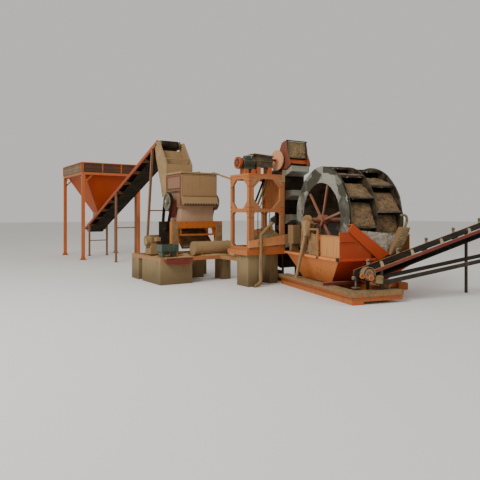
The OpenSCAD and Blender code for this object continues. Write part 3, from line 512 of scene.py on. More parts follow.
def weathered_group():
    """Painted steel that has faded, gathered dust on top, run with dirty water and begun to rust."""
    tree, k, given, out = new_group("weathered paint", {
        "Paint": (0.7, 0.25, 0.08, 1), "Faded": (0.75, 0.4, 0.2, 1), "Dust": (0.42, 0.3, 0.17, 1),
        "Rust": (0.13, 0.045, 0.02, 1), "Dust Amount": 0.3, "Rust Amount": 0.3, "Streaks": 0.5,
        "Side Fade": 0.2, "Front Dust": 0.0, "Right Dust": 0.0, "Right Edge": 0.0}, ("Color", "Roughness", "Height"))
    where = k.place()
    to_right, to_back, up = k.split(k.place("Normal"))
    left_side = k.math("MAXIMUM", to_right * -1.0, 0.0)
    front_side = k.math("MAXIMUM", to_back * -1.0, 0.0)
    beyond = k.split(where)[X] - given["Right Edge"]
    broad = k.noise(where, 0.8, 3.0)
    patch = k.noise(where, 3.7, 6.0, 0.68)
    fine = k.noise(where, 38.0, 5.0, 0.7)
    runs = k.noise(k.stretched(where, (6.0, 6.0, 0.55)), 2.2, 6.0, 0.62)
    specks = k.noise(where, 11.0, 9.0, 0.72)
    # Painted light and shade: faces that look left turn towards the faded colour, and faces that look to the front
    # turn away from it.
    painted_side_light = (left_side - front_side * 0.6) * given["Side Fade"]
    fade_and_painted_side_light = k.ramp(painted_side_light + (broad * 0.55 + runs * 0.5), 0.4, 0.66)
    paint = k.shade(k.mix(fade_and_painted_side_light, given["Paint"], given["Faded"]), fine * 0.5 + 0.75)
    dirty = k.ramp(runs, 0.52, 0.7) * given["Streaks"]
    paint = k.mix(dirty * 0.75, paint, (0.07, 0.045, 0.03))
    lying = k.math("MAXIMUM", up, 0.0) * 0.6
    # Dust on front-facing sides, which is partly painted shade there, and dust past the right edge; the dusty mask
    # below carries both.
    thrown_dust_and_front_shade = front_side * given["Front Dust"] + k.ramp(beyond, -0.1, 0.15) * given["Right Dust"]
    dusty = k.ramp((given["Dust Amount"] + (lying + thrown_dust_and_front_shade)) + (patch - 0.5) * 1.5, 0.15, 0.85)
    dust = k.mix(specks * 0.9, given["Dust"], (0.24, 0.165, 0.09))
    paint = k.mix(dusty * 0.9, paint, dust)
    edge = 0.78 - given["Rust Amount"] * 0.28
    rusty = k.ramp(specks * 0.75 + patch * 0.35, edge, edge + 0.07)
    k.feed(k.mix(rusty, paint, given["Rust"]), out["Color"])
    rough = dusty * 0.35 + 0.5
    k.feed(k.math("ADD", rough, rusty * 0.2, clamp=True), out["Roughness"])
    k.feed((fine * 0.25 + dusty * (specks * 0.7)) - rusty * 0.25, out["Height"])
    return tree


def worn_edge_group():
    """Mask of the corners where paint is knocked off."""
    tree, k, given, out = new_group("worn edges", {"Width": 0.02}, ("Mask",))
    rounded = k.wire("ShaderNodeBevel", {"samples": 4}, Radius=given["Width"])
    flat = k.wire("ShaderNodeNewGeometry", output="Normal")
    alike = k.wire("ShaderNodeVectorMath", {"operation": "DOT_PRODUCT"}, "Value", i0=rounded, i1=flat)
    chipped = k.ramp(k.noise(k.place(), 14.0, 6.0, 0.7), 0.44, 0.58)
    k.feed(k.ramp(alike, 0.985, 0.86) * chipped, out["Mask"])
    return tree


def grit_group():
    """Damp sand and crushed stone: coarse grains, darker wet hollows and pale dry crust."""
    tree, k, given, out = new_group("grit", {
        "Dry": (0.5, 0.36, 0.2, 1), "Wet": (0.16, 0.1, 0.055, 1), "Wetness": 0.4, "Grains": 55.0,
        "Specks": 0.3}, ("Color", "Roughness", "Height"))
    where = k.place()
    broad = k.noise(where, 4.5, 5.0, 0.65)
    grain = k.noise(where, given["Grains"], 6.0, 0.75)
    speck = k.ramp(k.noise(where, given["Grains"] * 0.8, 3.0, 0.8), 0.52, 0.66)
    stones = k.wire("ShaderNodeTexVoronoi", Vector=where, Scale=given["Grains"])
    damp = k.ramp(broad * 0.8 + given["Wetness"] * 0.5, 0.45, 0.8)
    colour = k.shade(k.mix(damp, given["Dry"], given["Wet"]), grain * 1.3 + 0.35)
    k.feed(k.mix(speck * given["Specks"], colour, (0.035, 0.022, 0.012)), out["Color"])
    k.feed(0.98 - damp * 0.3, out["Roughness"])
    k.feed(grain + stones * 0.8, out["Height"])
    return tree


# Finishes
def painted(name, paint, faded, dust=0.25, rust=0.3, streaks=0.5, dust_colour=DUST, metallic=0.0,
            side_fade=0.2, front_dust=0.0, right_dust=0.0, right_edge=0.0):
    """Weathered painted steel in one colour, with chipped corners."""
    k = Finish(name)
    coat = k.use(weathered_group, Paint=paint, Faded=faded, Dust=dust_colour, Rust=RUST, Dust_Amount=dust,
                 Rust_Amount=rust, Streaks=streaks, Side_Fade=side_fade, Front_Dust=front_dust,
                 Right_Dust=right_dust, Right_Edge=right_edge)
    edges = k.use(worn_edge_group, Width=0.014)
    return k.done(k.mix(edges["Mask"] * 0.7, coat["Color"], RUST), coat["Roughness"], coat["Height"],
                  metallic=metallic, specular=0.25)


def gritty(name, dry, wet, wetness=0.4, relief=0.02, grains=55.0, specks=0.3):
    """Sand, crust or mud."""
    k = Finish(name)
    sand = k.use(grit_group, Dry=dry, Wet=wet, Wetness=wetness, Grains=grains, Specks=specks)
    return k.done(sand["Color"], sand["Roughness"], sand["Height"], relief, 0.8)


def planked(name, light, dark, side_light, side_dark, plank):
    """Weathered boards laid on edge one above the other, with dark joints and grain along them."""
    k = Finish(name)
    where = k.place()
    board = k.split(where)[Z] / plank
    side = k.ramp(k.math("ABSOLUTE", k.split(k.place("Normal"))[X]), 0.5, 0.8)
    middle = k.math("ABSOLUTE", k.math("FRACT", board) - 0.5)
    joint = k.ramp(middle, 0.44, 0.485)
    tint = k.wire("ShaderNodeTexWhiteNoise", {"noise_dimensions": "1D"}, i1=k.math("FLOOR", board))
    grain = k.noise(k.stretched(where, (1.2, 1.2, 40.0)), 2.5, 8.0, 0.7)
    weather = grain * 0.55 + (tint * 0.3 + k.noise(where, 1.6, 5.0) * 0.5)
    weather = weather + k.noise(k.stretched(where, (0.3, 0.3, 0.0)), 1.0, 1.0) * 0.1
    colour = k.mix(k.ramp(weather, 0.45, 1.0), k.mix(side, dark, side_dark), k.mix(side, light, side_light))
    return k.done(k.mix(joint, colour, (0.012, 0.009, 0.007)), 0.9, grain * 0.4 - joint, 0.008, 0.7)


def masonry(name, pale, dark):
    """Rough concrete with form lines, stains that rise from the ground and splashed dust."""
    k = Finish(name)
    where = k.place()
    broad = k.noise(where, 1.7, 5.0, 0.65)
    pits = k.noise(where, 30.0, 6.0, 0.75)
    runs = k.noise(k.stretched(where, (5.0, 5.0, 0.5)), 2.0, 6.0)
    foot = 1.0 - k.ramp(k.split(where)[Z] + broad * 0.5, 0.25, 0.95)
    stain = k.math("MAXIMUM", foot, k.ramp(runs, 0.5, 0.72), clamp=True)
    colour = k.mix(k.ramp(pits, 0.55, 0.75), k.mix(stain * 0.75, pale, dark), dark)
    return k.done(colour, 0.92, pits + broad, 0.012, 0.6)


def rubber(name, base, dust):
    """Dusty belt rubber with scuffs along it."""
    k = Finish(name)
    fine = k.noise(k.place(), 50.0, 4.0)
    mask = k.ramp(k.noise(k.place(), 2.4, 7.0, 0.7) * 0.8 + fine * 0.25, 0.42, 0.72)
    return k.done(k.mix(mask, base, dust), 0.85, fine, 0.003, 0.4, specular=0.15)


def galvanised(name, bright, dull, mud, folded=3.2, muddy=0.54):
    """Scraped bare steel of the wheel: dull grey plates with wet runs and mud in the corners."""
    k = Finish(name)
    where = k.place()
    cloudy = k.noise(where, 6.5, 7.0, 0.7)
    scratch = k.noise(k.stretched(where, (30.0, 30.0, 3.0)), 2.0, 5.0)
    # Painted light and shade of bent facets: cells of a distorted pattern, sized by folded, take tones between dull
    # and bright.
    bent = k.mix(0.12, where, k.wire("ShaderNodeTexNoise", output="Color", Vector=where, Scale=3.0))
    facet_light_cells = k.wire("ShaderNodeTexVoronoi", output="Color", Vector=bent, Scale=folded)
    fold = k.wire("ShaderNodeSeparateColor", i0=facet_light_cells)
    metal = k.mix(k.ramp(k.noise(where, 2.3, 4.0, 0.6) * 0.5 + fold * 0.5, 0.3, 0.72), dull, bright)
    metal = k.mix(k.ramp(scratch, 0.5, 0.75) * 0.4, metal, dull)
    dirt = k.ramp(cloudy, muddy, muddy + 0.16)
    return k.done(k.mix(dirt * 0.75, metal, mud), k.math("ADD", 0.42, dirt * 0.4, clamp=True),
                  cloudy + scratch * 0.3, 0.006, 0.45, metallic=0.35)


def make_finishes():
    orange = tuple(bpy.context.scene.line_colours.orange)
    brown = {"dust_colour": BROWN_DUST}
    MATERIALS.update({
        "orange": painted("orange paint", orange, (0.5, 0.17, 0.055), 0.12, 0.35),
        "dull orange": painted("dull orange paint", (0.36, 0.1, 0.03), (0.42, 0.17, 0.06), 0.2, 0.35, **brown),
        # Front dust on the tower is partly painted shade on its front-facing sides.
        "tower": painted("dusty tower paint with painted front shade", orange, (0.46, 0.16, 0.05), 0.08, 0.35, front_dust=0.45, **brown),
        "bright orange": painted("fresh orange paint", (0.46, 0.065, 0.008), (0.48, 0.12, 0.02), -0.05, 0.25, 0.4,
                                 side_fade=0.1),
        "chute orange": painted("chute paint", (0.42, 0.05, 0.006), (0.46, 0.09, 0.015), -0.05, 0.25, 0.4,
                                side_fade=0.3, right_dust=1.2, right_edge=2.25, **brown),
        "frame orange": painted("crusher frame paint", (0.46, 0.12, 0.018), (0.46, 0.16, 0.04), 0.1, 0.3, 0.5,
                                side_fade=0.35, **brown),
        # The two tank paints carry the most painted side light: their left-facing sides are much paler and their
        # front-facing sides darker.
        "pale orange": painted("faded orange paint with painted side light", (0.36, 0.045, 0.008), (0.58, 0.26, 0.09), 0.02, 0.25, 0.4,
                               side_fade=0.42),
        "deep orange": painted("red-orange tank paint", (0.52, 0.05, 0.014), (0.78, 0.27, 0.08), -0.05, 0.3, 0.6,
                               side_fade=0.55),
        "trough": painted("trough paint", (0.66, 0.26, 0.1), (0.66, 0.3, 0.12), 0.12, 0.25, 0.4,
                          right_dust=0.9, right_edge=1.5, **brown),
        "disc": painted("pale disc paint", (0.66, 0.3, 0.14), (0.68, 0.34, 0.17), 0.08, 0.12, 0.3),
        "dusty orange": painted("dust-covered orange paint", (0.45, 0.14, 0.045), (0.42, 0.2, 0.08), 0.36, 0.3),
        "bearing orange": painted("mud-splashed orange paint", (0.4, 0.12, 0.03), (0.4, 0.17, 0.06), 0.45, 0.3,
                                  **brown),
        # Front dust on the skid is partly painted shade on its front faces.
        "skid": painted("skid paint", (0.45, 0.12, 0.03), (0.44, 0.14, 0.035), 0.12, 0.3, front_dust=0.1,
                        dust_colour=(0.17, 0.11, 0.045)),
        "red orange": painted("red-orange paint", (0.42, 0.05, 0.007), (0.48, 0.085, 0.012), -0.05, 0.2, 0.5),
        "stringer": painted("dull red stringers", (0.34, 0.045, 0.012), (0.38, 0.08, 0.025), 0.02, 0.3, 0.5),
        "tan": painted("steel under dust", (0.34, 0.21, 0.095), (0.38, 0.26, 0.13), 0.5, 0.15, 0.4),
        "pipe": painted("muddy pipe", (0.22, 0.12, 0.04), (0.26, 0.16, 0.065), 0.4, 0.2, 0.5, **brown),
        "hood": painted("dusty hood steel", (0.33, 0.19, 0.088), (0.34, 0.18, 0.09), 0.35, 0.12, 0.35),
        "pink": painted("faded housing paint", (0.28, 0.13, 0.075), (0.27, 0.16, 0.09), 0.2, 0.2, 0.4, side_fade=0.0),
        "pale pink": painted("sun-faded housing paint", (0.44, 0.27, 0.17), (0.46, 0.3, 0.19), 0.15, 0.15, 0.3,
                             side_fade=0.0),
        "maroon": painted("maroon paint", (0.17, 0.028, 0.02), (0.2, 0.06, 0.035), 0.1, 0.3),
        "rusty": painted("rusty bare steel", (0.2, 0.085, 0.04), (0.28, 0.15, 0.08), 0.2, 0.5),
        "spokes": painted("washed rusty spokes", (0.26, 0.085, 0.05), (0.3, 0.14, 0.09), 0.05, 0.25, 0.3),
        "dark": painted("greasy dark steel", (0.022, 0.018, 0.013), (0.04, 0.031, 0.02), 0.12, 0.1, 0.2),
        "gearbox": painted("greasy gearbox", (0.045, 0.034, 0.02), (0.09, 0.07, 0.04), 0.2, 0.15, 0.5, side_fade=0.0),
        "green": painted("faded green paint", (0.04, 0.065, 0.045), (0.085, 0.11, 0.075), 0.08, 0.15),
        "grey": painted("worn grey castings", (0.12, 0.115, 0.085), (0.18, 0.17, 0.125), 0.18, 0.15, 0.3,
                        metallic=0.2),
        "bucket grey": painted("bare grey buckets", (0.3, 0.3, 0.24), (0.36, 0.35, 0.28), 0.0, 0.12, 0.5,
                               metallic=0.2),
        "cream": painted("cream paint", (0.42, 0.33, 0.19), (0.46, 0.38, 0.24), 0.25, 0.15, 0.3),
        "boards": planked("weathered boards", (0.12, 0.045, 0.02), (0.035, 0.014, 0.007), (0.36, 0.25, 0.15),
                          (0.16, 0.105, 0.06), 0.14),
        "concrete": masonry("stained concrete", (0.28, 0.2, 0.095), (0.11, 0.068, 0.03)),
        "belt": rubber("belt rubber", (0.009, 0.006, 0.003), (0.042, 0.027, 0.013)),
        "black belt": rubber("black belt rubber", (0.006, 0.005, 0.004), (0.03, 0.021, 0.012)),
        "bare": galvanised("bare wheel plates", (0.42, 0.41, 0.35), (0.075, 0.076, 0.055), (0.11, 0.082, 0.045)),
        "lip steel": galvanised("bucket lip steel", (0.12, 0.11, 0.09), (0.04, 0.034, 0.025), (0.1, 0.065, 0.035),
                                6.0, 0.46),
        "wet steel": galvanised("wet bucket steel", (0.085, 0.065, 0.04), (0.028, 0.021, 0.013), (0.1, 0.06, 0.03),
                                5.0, 0.46),
        "sand": gritty("clinging sand", (0.235, 0.145, 0.065), (0.07, 0.04, 0.02), 0.35, 0.05, 17.0, 0.75),
        "crust": gritty("dried sand crust", (0.28, 0.19, 0.085), (0.13, 0.08, 0.035), 0.3, 0.03, 24.0, 0.5),
        "frame crust": gritty("dust caked on the frame", (0.3, 0.17, 0.07), (0.17, 0.09, 0.035), 0.3, 0.02, 20.0, 0.4),
        "wet sand": gritty("wet sand", (0.4, 0.35, 0.28), (0.12, 0.08, 0.045), 0.3, 0.03, 16.0, 0.35),
        # Worn only by the skid's pit: a dark mud sheet that is painted shade there.
        "mud": gritty("dark mud as painted pit shade", (0.06, 0.04, 0.022), (0.02, 0.013, 0.008), 0.6, 0.02, 20.0, 0.5),
        "dry dust": gritty("dry dust drift", (0.4, 0.26, 0.11), (0.22, 0.135, 0.055), 0.1, 0.01),
    })


# Nodes that wear each finish
DRESS = {
    "red orange": ["hopper_cone"],
    "stringer": ["feed_stringers"],
    "boards": ["hopper_walls"],
    "orange": ["hopper_top_frame", "hopper_legs", "tower_base", "tower_deck"],
    "dull orange": ["feed_cross_members"],
    "tower": ["tower_sides"],
    "deep orange": ["tank_lower"],
    "chute orange": ["sand_chute"],
    "frame orange": ["crusher_frame"],
    "pale orange": ["tank_upper"],
    "bearing orange": ["wheel_bearings"],
    "trough": ["trough"],
    "disc": ["elevator_disc"],
    "skid": ["washer_skid"],
    "dusty orange": ["crusher_skid", "tower_cross_frames"],
    "tan": ["hopper_skirt", "head_chute", "crusher_lid", "roll_drum", "crusher_motor", "tie_pole"],
    "pipe": ["drain_pipe"],
    "gearbox": ["deck_gearbox"],
    "hood": ["crusher_hood"],
    "pink": ["crusher_upper_body"],
    "pale pink": ["crusher_lower_body"],
    "maroon": ["rotor_bearings", "elevator_head_drum", "discharge_stringers"],
    "rusty": ["feed_legs"],
    "spokes": ["wheel_spokes"],
    "dark": ["motor_pulley", "discharge_screen", "elevator_frame", "discharge_legs"],
    "green": ["side_tubs", "deck_motor"],
    "grey": ["feed_head_drum", "feed_tail_drum", "feed_idlers", "rotor_shaft", "flywheel_left",
             "flywheel_right", "discharge_tail_drum"],
    "bucket grey": ["elevator_buckets"],
    "belt": ["feed_belt", "drive_belts", "elevator_band"],
    "black belt": ["discharge_belt"],
    "concrete": ["tower_piers", "crusher_piers"],
    "wet steel": ["wheel_buckets", "wheel_rings"],
}

# Finishes of loose material, which are always rounded off
LOOSE = {"dry dust", "frame crust", "crust", "wet sand", "mud", "sand"}

STEPS = []


def step(name, label):
    """Gives a build function an operator of its own, in the order in which they are defined."""
    def add(build):
        def execute(self, context):
            build()
            return {"FINISHED"}
        STEPS.append(type("PLANT_OT_" + name, (bpy.types.Operator,), {
            "__doc__": build.__doc__, "bl_idname": "plant." + name, "bl_label": label, "execute": execute}))
        return build
    return add


@step("stage", "Stage and camera")
def build_stage():
    """Pale floor, soft lights and the camera at the photograph's viewing angle."""
    bpy.ops.mesh.primitive_plane_add(size=240, location=(0, 0, 0))
    floor = bpy.context.object
    floor.name = "studio_floor"
    colour = tuple(bpy.context.scene.line_colours.floor)
    k = Finish("studio floor")
    cloud = k.noise(k.place(), 0.15, 3.0)
    floor.data.materials.append(k.done(k.mix(cloud, colour, tuple(c * 0.94 for c in colour)), 0.9))
    scene = bpy.context.scene
    scene.world = bpy.data.worlds.new("studio")
    scene.world.use_nodes = True
    background = scene.world.node_tree.nodes["Background"]
    background.inputs["Color"].default_value = (0.9, 0.88, 0.83, 1)
    background.inputs["Strength"].default_value = 0.7
    for name, place, aim, size, power in (
            ("key", (-14, -8, 15), (0, 0, 1.5), 8, 3000),
            ("fill", (12, -16, 9), (1, -2, 1.5), 10, 350)):
        data = bpy.data.lights.new(name, "AREA")
        data.size = size
        data.energy = power
        lamp = bpy.data.objects.new(name, data)
        scene.collection.objects.link(lamp)
        lamp.location = place
        lamp.rotation_euler = (Vector(aim) - Vector(place)).to_track_quat("-Z", "Y").to_euler()
    lens = bpy.data.cameras.new("camera")
    lens.sensor_width = 36
    lens.lens = 37.5
    lens.shift_y = -26 / 480
    lens.clip_end = 500
    camera = bpy.data.objects.new("camera", lens)
    scene.collection.objects.link(camera)
    camera.location = (-7.775, -14.96, 2.1)
    camera.rotation_euler = (math.radians(90), 0, math.radians(-33))
    scene.camera = camera


@step("finishes", "Finishes of the solids")
def dress_nodes():
    """Makes the finishes and gives every carried-over node its own."""
    make_finishes()
    for finish, names in DRESS.items():
        for name in names:
            mesh = NODES[name].data
            mesh.materials.clear()
            mesh.materials.append(MATERIALS[finish])


# Feed hopper and feed conveyor
@step("guard_posts", "Hopper guard posts")
def build_guard_posts():
    """Flat bars that hold the boards of the hopper, each with two bolts."""
    low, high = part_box("hopper_walls")
    depth, dent = 0.038, 0.012
    posts, places = [], []
    for axis in (X, Y):
        span = high[1 - axis] - low[1 - axis]
        last = max(2, round(span / bpy.context.scene.feed_sizes.post_gap))
        for side in (-1, 1):
            for i in range(last + 1):
                if axis == X and 0 < i < last:
                    continue
                spot = Vector()
                spot[axis] = high[axis] if side > 0 else low[axis]
                spot[1 - axis] = low[1 - axis] + 0.04 + (span - 0.08) * i / last
                a, b = spot.copy(), spot.copy()
                a[1 - axis] -= 0.03
                b[1 - axis] += 0.03
                b[axis] += side * depth
                a.z, b.z = low.z, high.z
                post = recess(new_box(a, b), Z, 1, 0.008)
                posts.append(recess(post, axis, side, 0.01, -side * dent))
                outward = Vector()
                outward[axis] = side
                point = spot + outward * (depth - dent)
                places += [facing((point.x, point.y, z), outward) for z in (low.z + 0.08, high.z - 0.08)]
    piece("hopper_guard_posts", posts, "orange")
    bolts("hopper_post_bolts", 0.014, places)


@step("hopper_feet", "Hopper feet")
def build_hopper_feet():
    """Foot plates of the hopper's legs, with ribs on their four sides."""
    low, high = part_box("hopper_legs")
    plates = []
    for x in (low.x + 0.07, high.x - 0.07):
        for y in (low.y + 0.07, high.y - 0.07):
            middle = Vector((x, y, 0))
            plates.append(new_box(middle - Vector((0.13, 0.13, 0)), middle + Vector((0.13, 0.13, 0.025)), 0.006))
            for i in range(4):
                rib = new_plate([(0.07, 0.025), (0.12, 0.025), (0.12, 0.04), (0.07, 0.16)], 0.012)
                plates.append(put_in(rib, at(*middle) @ turned("Z", i * QUARTER) @ at(0, -0.006, 0)))
    piece("hopper_foot_plates", plates, "orange")


@step("chute_trim", "Head chute trim")
def build_chute_trim():
    """Folded lips and bolts along the edges of the head chute's side plates."""
    low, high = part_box("head_chute")
    front = [(0.905, 3.46), (0.905, 3.84), (1.54, 4.69)]
    back = [(1.9, 4.69), (1.79, 4.12), (1.36, 3.09), (1.25, 2.7)]
    runs = [(*run, 0.05) for run in zip(front, front[1:])] + [(*run, -0.05) for run in zip(back, back[1:])]
    lips, places = [], []
    for side, x in ((-1, low.x), (1, high.x)):
        inside = x - side * 0.012
        for p, q, inwards in runs:
            lips.append(new_beam((inside, *p), (inside, *q), 0.05, 0.012, soft=0.003))
            count = max(1, int(math.hypot(q[0] - p[0], q[1] - p[1]) / 0.22))
            for i in range(count):
                y, z = (a + (b - a) * (i + 0.5) / count for a, b in zip(p, q))
                places.append(facing((x, y + inwards, z), (side, 0, 0)))
    piece("chute_lips", lips, "tan")
    bolts("chute_bolts", 0.012, places)


# Crusher
@step("housing", "Crusher flanges and bolts")
def build_housing_flanges():
    """Dark flanges, ribs and bolt rows of the crusher's side walls, and the row under the hood."""
    low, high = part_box("crusher_upper_body")
    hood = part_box("crusher_hood")[0]
    front, back = -0.6, 0.47
    rails, flanges, places = [], [], []
    for x, side in ((-0.685, -1), (0.595, 1)):
        for z in (low.z + 0.02, low.z + 0.5, high.z - 0.05):
            rail = new_box((x, front + 0.06, z - 0.02), (x + side * 0.03, back - 0.06, z + 0.02))
            rails.append(recess(rail, X, side, 0.008, -side * 0.008))
        for y in (front + 0.02, back - 0.02):
            flanges.append(new_box((x + side * 0.018, y - 0.028, low.z),
                                   (x + side * 0.03, y + 0.028, high.z - 0.02), 0.005))
        for z in (low.z + 0.44, low.z + 0.56):
            places += [facing((x, front + 0.14 + i * 0.13, z), (side, 0, 0)) for i in range(7)]
    places += [facing((hood.x + 0.07 + i * 0.095, hood.y + 0.001, hood.z + 0.018), (0, -1, 0)) for i in range(13)]
    piece("housing_rails", rails, "pink")
    piece("housing_flanges", flanges, "maroon")
    bolts("housing_bolts", 0.021, places, "dark")


@step("hood_trim", "Hood trim")
def build_hood_trim():
    """Edge strips and hinge of the front hood, and the stiffening ribs on the lid."""
    low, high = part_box("crusher_hood")
    front, back = -0.652, -0.638
    parts = [new_box((x - 0.012, front, low.z + 0.33), (x + 0.012, back, high.z), 0.004)
             for x in (low.x + 0.012, high.x - 0.012)]
    parts.append(new_box((low.x, front, high.z - 0.03), (high.x, back, high.z), 0.004))
    hinge = new_rod((low.x + 0.04, -0.655, low.z + 0.29), (high.x - 0.04, -0.655, low.z + 0.29), 0.012, 10)
    parts.append(recess(hinge, X, 0, 0.004))
    low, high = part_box("crusher_lid")
    for x in (low.x + 0.1, (low.x + high.x) / 2, high.x - 0.1):
        parts.append(new_box((x - 0.03, low.y + 0.03, high.z), (x + 0.03, high.y - 0.03, high.z + 0.03), 0.008))
    piece("hood_trim", parts, "tan")


@step("flywheels", "Flywheel spokes and hubs")
def build_flywheel_hubs():
    """Cream hub caps, and spokes inside the flywheels' rims."""
    low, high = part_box("rotor_shaft")
    y, z = (low.y + high.y) / 2, (low.z + high.z) / 2
    spokes, caps = [], []
    for node, side in (("flywheel_left", -1), ("flywheel_right", 1)):
        low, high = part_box(node)
        centre = Vector(((low.x + high.x) / 2, y, z))
        for i in range(6):
            out = Vector((0, math.cos(i * math.pi / 3), math.sin(i * math.pi / 3)))
            spokes.append(soften(new_beam(centre + out * 0.095, centre + out * 0.235, 0.075, 0.05), 0.012, 2))
        face = low.x if side < 0 else high.x
        cap = new_rod((face, y, z), (face + side * 0.03, y, z), 0.055, 24)
        caps.append(recess(cap, X, side, 0.015, -side * 0.008))
    piece("flywheel_spokes", spokes, "grey", body="rotor")
    piece("flywheel_hub_caps", caps, "cream", round_off=True, body="rotor")


@step("rotor_bearings", "Rotor bearing caps")
def build_bearing_caps():
    """Split lines, bolts and grease cups on the rotor's bearing housings."""
    y, z = -0.1, 2.5
    parts, places = [], []
    for x in (-0.755, 0.665):
        for side in (-1, 1):
            middle = y + side * 0.12
            parts.append(new_box((x - 0.06, middle - 0.06, z), (x + 0.06, middle + 0.06, z + 0.05), 0.008))
            places += [facing((x + dx, y + side * 0.145, z + 0.05), (0, 0, 1)) for dx in (-0.035, 0.035)]
        cup = new_rod((x, y, z + 0.12), (x, y, z + 0.165), 0.018, 10)
        parts.append(recess(cup, Z, 1, 0.006, 0.012))
    piece("bearing_ears", parts, "maroon")
    bolts("bearing_bolts", 0.02, places)


def motor_fins(x0, x1, y, z, radius, count):
    """Cooling ribs along a motor's round housing, on all but its underside."""
    depth = 0.022
    fins = []
    for i in range(count):
        a = math.radians(-50) + i * math.radians(280) / (count - 1)
        out = Vector((0, math.cos(a), math.sin(a)))
        lift = out * (radius + depth / 2)
        fins.append(new_beam(Vector((x0, y, z)) + lift, Vector((x1, y, z)) + lift, 0.006, depth,
                             Vector((1, 0, 0)).cross(out), 0.0015))
    return fins


@step("motors", "Motor details")
def build_motor_details():
    """Ribs of the two motors, junction box and fan guard of one, pulley and gearbox trim of the other."""
    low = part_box("crusher_motor")[0]
    y, z = 0.26, 1.23
    piece("crusher_motor_ribs", motor_fins(-1.4, -1.03, y, z, 0.168, 22), "tan")
    box = new_box((-1.3, y - 0.29, z - 0.02), (-1.12, y - 0.165, z + 0.12))
    piece("crusher_motor_box", [soften(recess(box, Y, -1, 0.015, -0.012))], "tan")
    guard = recess(new_rod((low.x, y, z), (low.x + 0.02, y, z), 0.15, 32), X, -1, (0.02, 0.03, 0.03), 0.006)
    piece("crusher_motor_guard", [guard], "cream", round_off=True)

    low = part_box("deck_motor")[0]
    y, z = -2.4, 3.63
    piece("deck_motor_ribs", motor_fins(0.47, 0.81, y, z, 0.148, 20), "green")
    face = [new_ring(0.183, 0.13, 0.078)]
    for i in range(4):
        ends = [turned("Z", math.radians(20 + i * 45)) @ Vector((x, 0, 0.026)) for x in (-0.15, 0.15)]
        face.append(new_beam(*ends, 0.03, 0.016, (0, 0, 1), 0.004))
    face.append(recess(new_rod((0, 0, 0.01), (0, 0, 0.05), 0.045), Z, 1, 0.015, -0.008))
    piece("deck_pulley_face", face, "stringer", facing((low.x + 0.03, y, z), (-1, 0, 0)), True)
    web = new_rod((low.x - 0.004, y, z), (low.x + 0.01, y, z), 0.135, 32)
    piece("deck_pulley_web", [recess(web, X, -1, 0.05, 0.003)], "dark", round_off=True)

    low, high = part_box("deck_gearbox")
    left, right, middle = low.x - 0.09, high.x + 0.01, (low.z + high.z) / 2
    lid = new_plate([(left, high.z + 0.035), (right, high.z - 0.005), (right, high.z + 0.02),
                     (left, high.z + 0.06)], high.y - low.y + 0.02)
    piece("deck_gearbox_lid", [soften(put_in(lid, at(0, low.y - 0.01, 0)), 0.005)], "tan")
    ribs = []
    for i in range(4):
        x = low.x + 0.12 + i * 0.12
        ribs.append(new_box((x, low.y + 0.016, low.z + 0.03), (x + 0.025, low.y + 0.045, high.z - 0.03), 0.006))
    ribs.append(new_box((low.x + 0.01, low.y + 0.01, middle - 0.015),
                        (high.x - 0.01, low.y + 0.05, middle + 0.015), 0.005))
    piece("deck_gearbox_ribs", ribs, "gearbox")


@step("frame_gussets", "Crusher frame gussets")
def build_frame_gussets():
    """Triangular plates in the corners of the crusher's frame, its base plates and their bolts."""
    front, top, foot = -0.62, 1.64, 0.822
    parts, places = [], []
    for x, side in ((-0.78, 1), (0.59, -1)):
        gusset = new_plate([(x, top), (x + side * 0.16, top), (x, top - 0.16)], 0.014)
        parts.append(put_in(gusset, at(0, front + 0.07, 0)))
    for x in (-1.02, 0.59):
        parts.append(new_box((x - 0.02, front - 0.02, 0.8), (x + 0.26, front + 0.17, foot), 0.005))
        places += [facing((x + dx, front, foot), (0, 0, 1)) for dx in (0.0, 0.24)]
    for i in range(7):
        places += [facing((-0.7 + i * 0.2, front, z), (0, -1, 0)) for z in (1.68, 1.82)]
    piece("frame_gussets", parts, "orange")
    bolts("frame_bolts", 0.014, places)


@step("screen", "Screen bars")
def build_screen_bars():
    """Bars across the sloping discharge screen and its orange side rails."""
    low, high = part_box("discharge_screen")
    slope = Vector((0, low.y - high.y, low.z - high.z))
    start = Vector((0, high.y, high.z))
    left, right = low.x + 0.02, high.x - 0.02
    count = 16
    bars, rails = [], []
    for i in range(count):
        p = start + slope * ((i + 0.5) / count)
        bars.append(new_beam((left, p.y, p.z + 0.012), (right, p.y, p.z + 0.012), 0.016, 0.02, (0, 1, 0), 0.004))
    for x in (left, right):
        foot = Vector((x, 0, 0.04))
        rails.append(new_beam(start + foot, start + slope + foot, 0.02, 0.11, soft=0.004))
    piece("screen_bars", bars, "rusty")
    piece("screen_rails", rails, "bright orange")


@step("roll_bands", "Roll bands")
def build_roll_bands():
    """Raised bands round the roll drum and at its ends."""
    low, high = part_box("roll_drum")
    y, z = -1.09, 1.025
    bands = []
    for x, radius in ((low.x + 0.02, 0.21), (low.x + 0.22, 0.219), (high.x - 0.25, 0.219), (high.x - 0.02, 0.21)):
        band = new_rod((x - 0.018, y, z), (x + 0.018, y, z), radius, 40)
        with edit(band):
            pick_side(X, 0)
            bpy.ops.mesh.inset(thickness=0.012)
            bpy.ops.mesh.inset(thickness=0.07)
            push(0, 0, 0)
        bands.append(band)
    piece("roll_bands", bands, "tan", round_off=True)


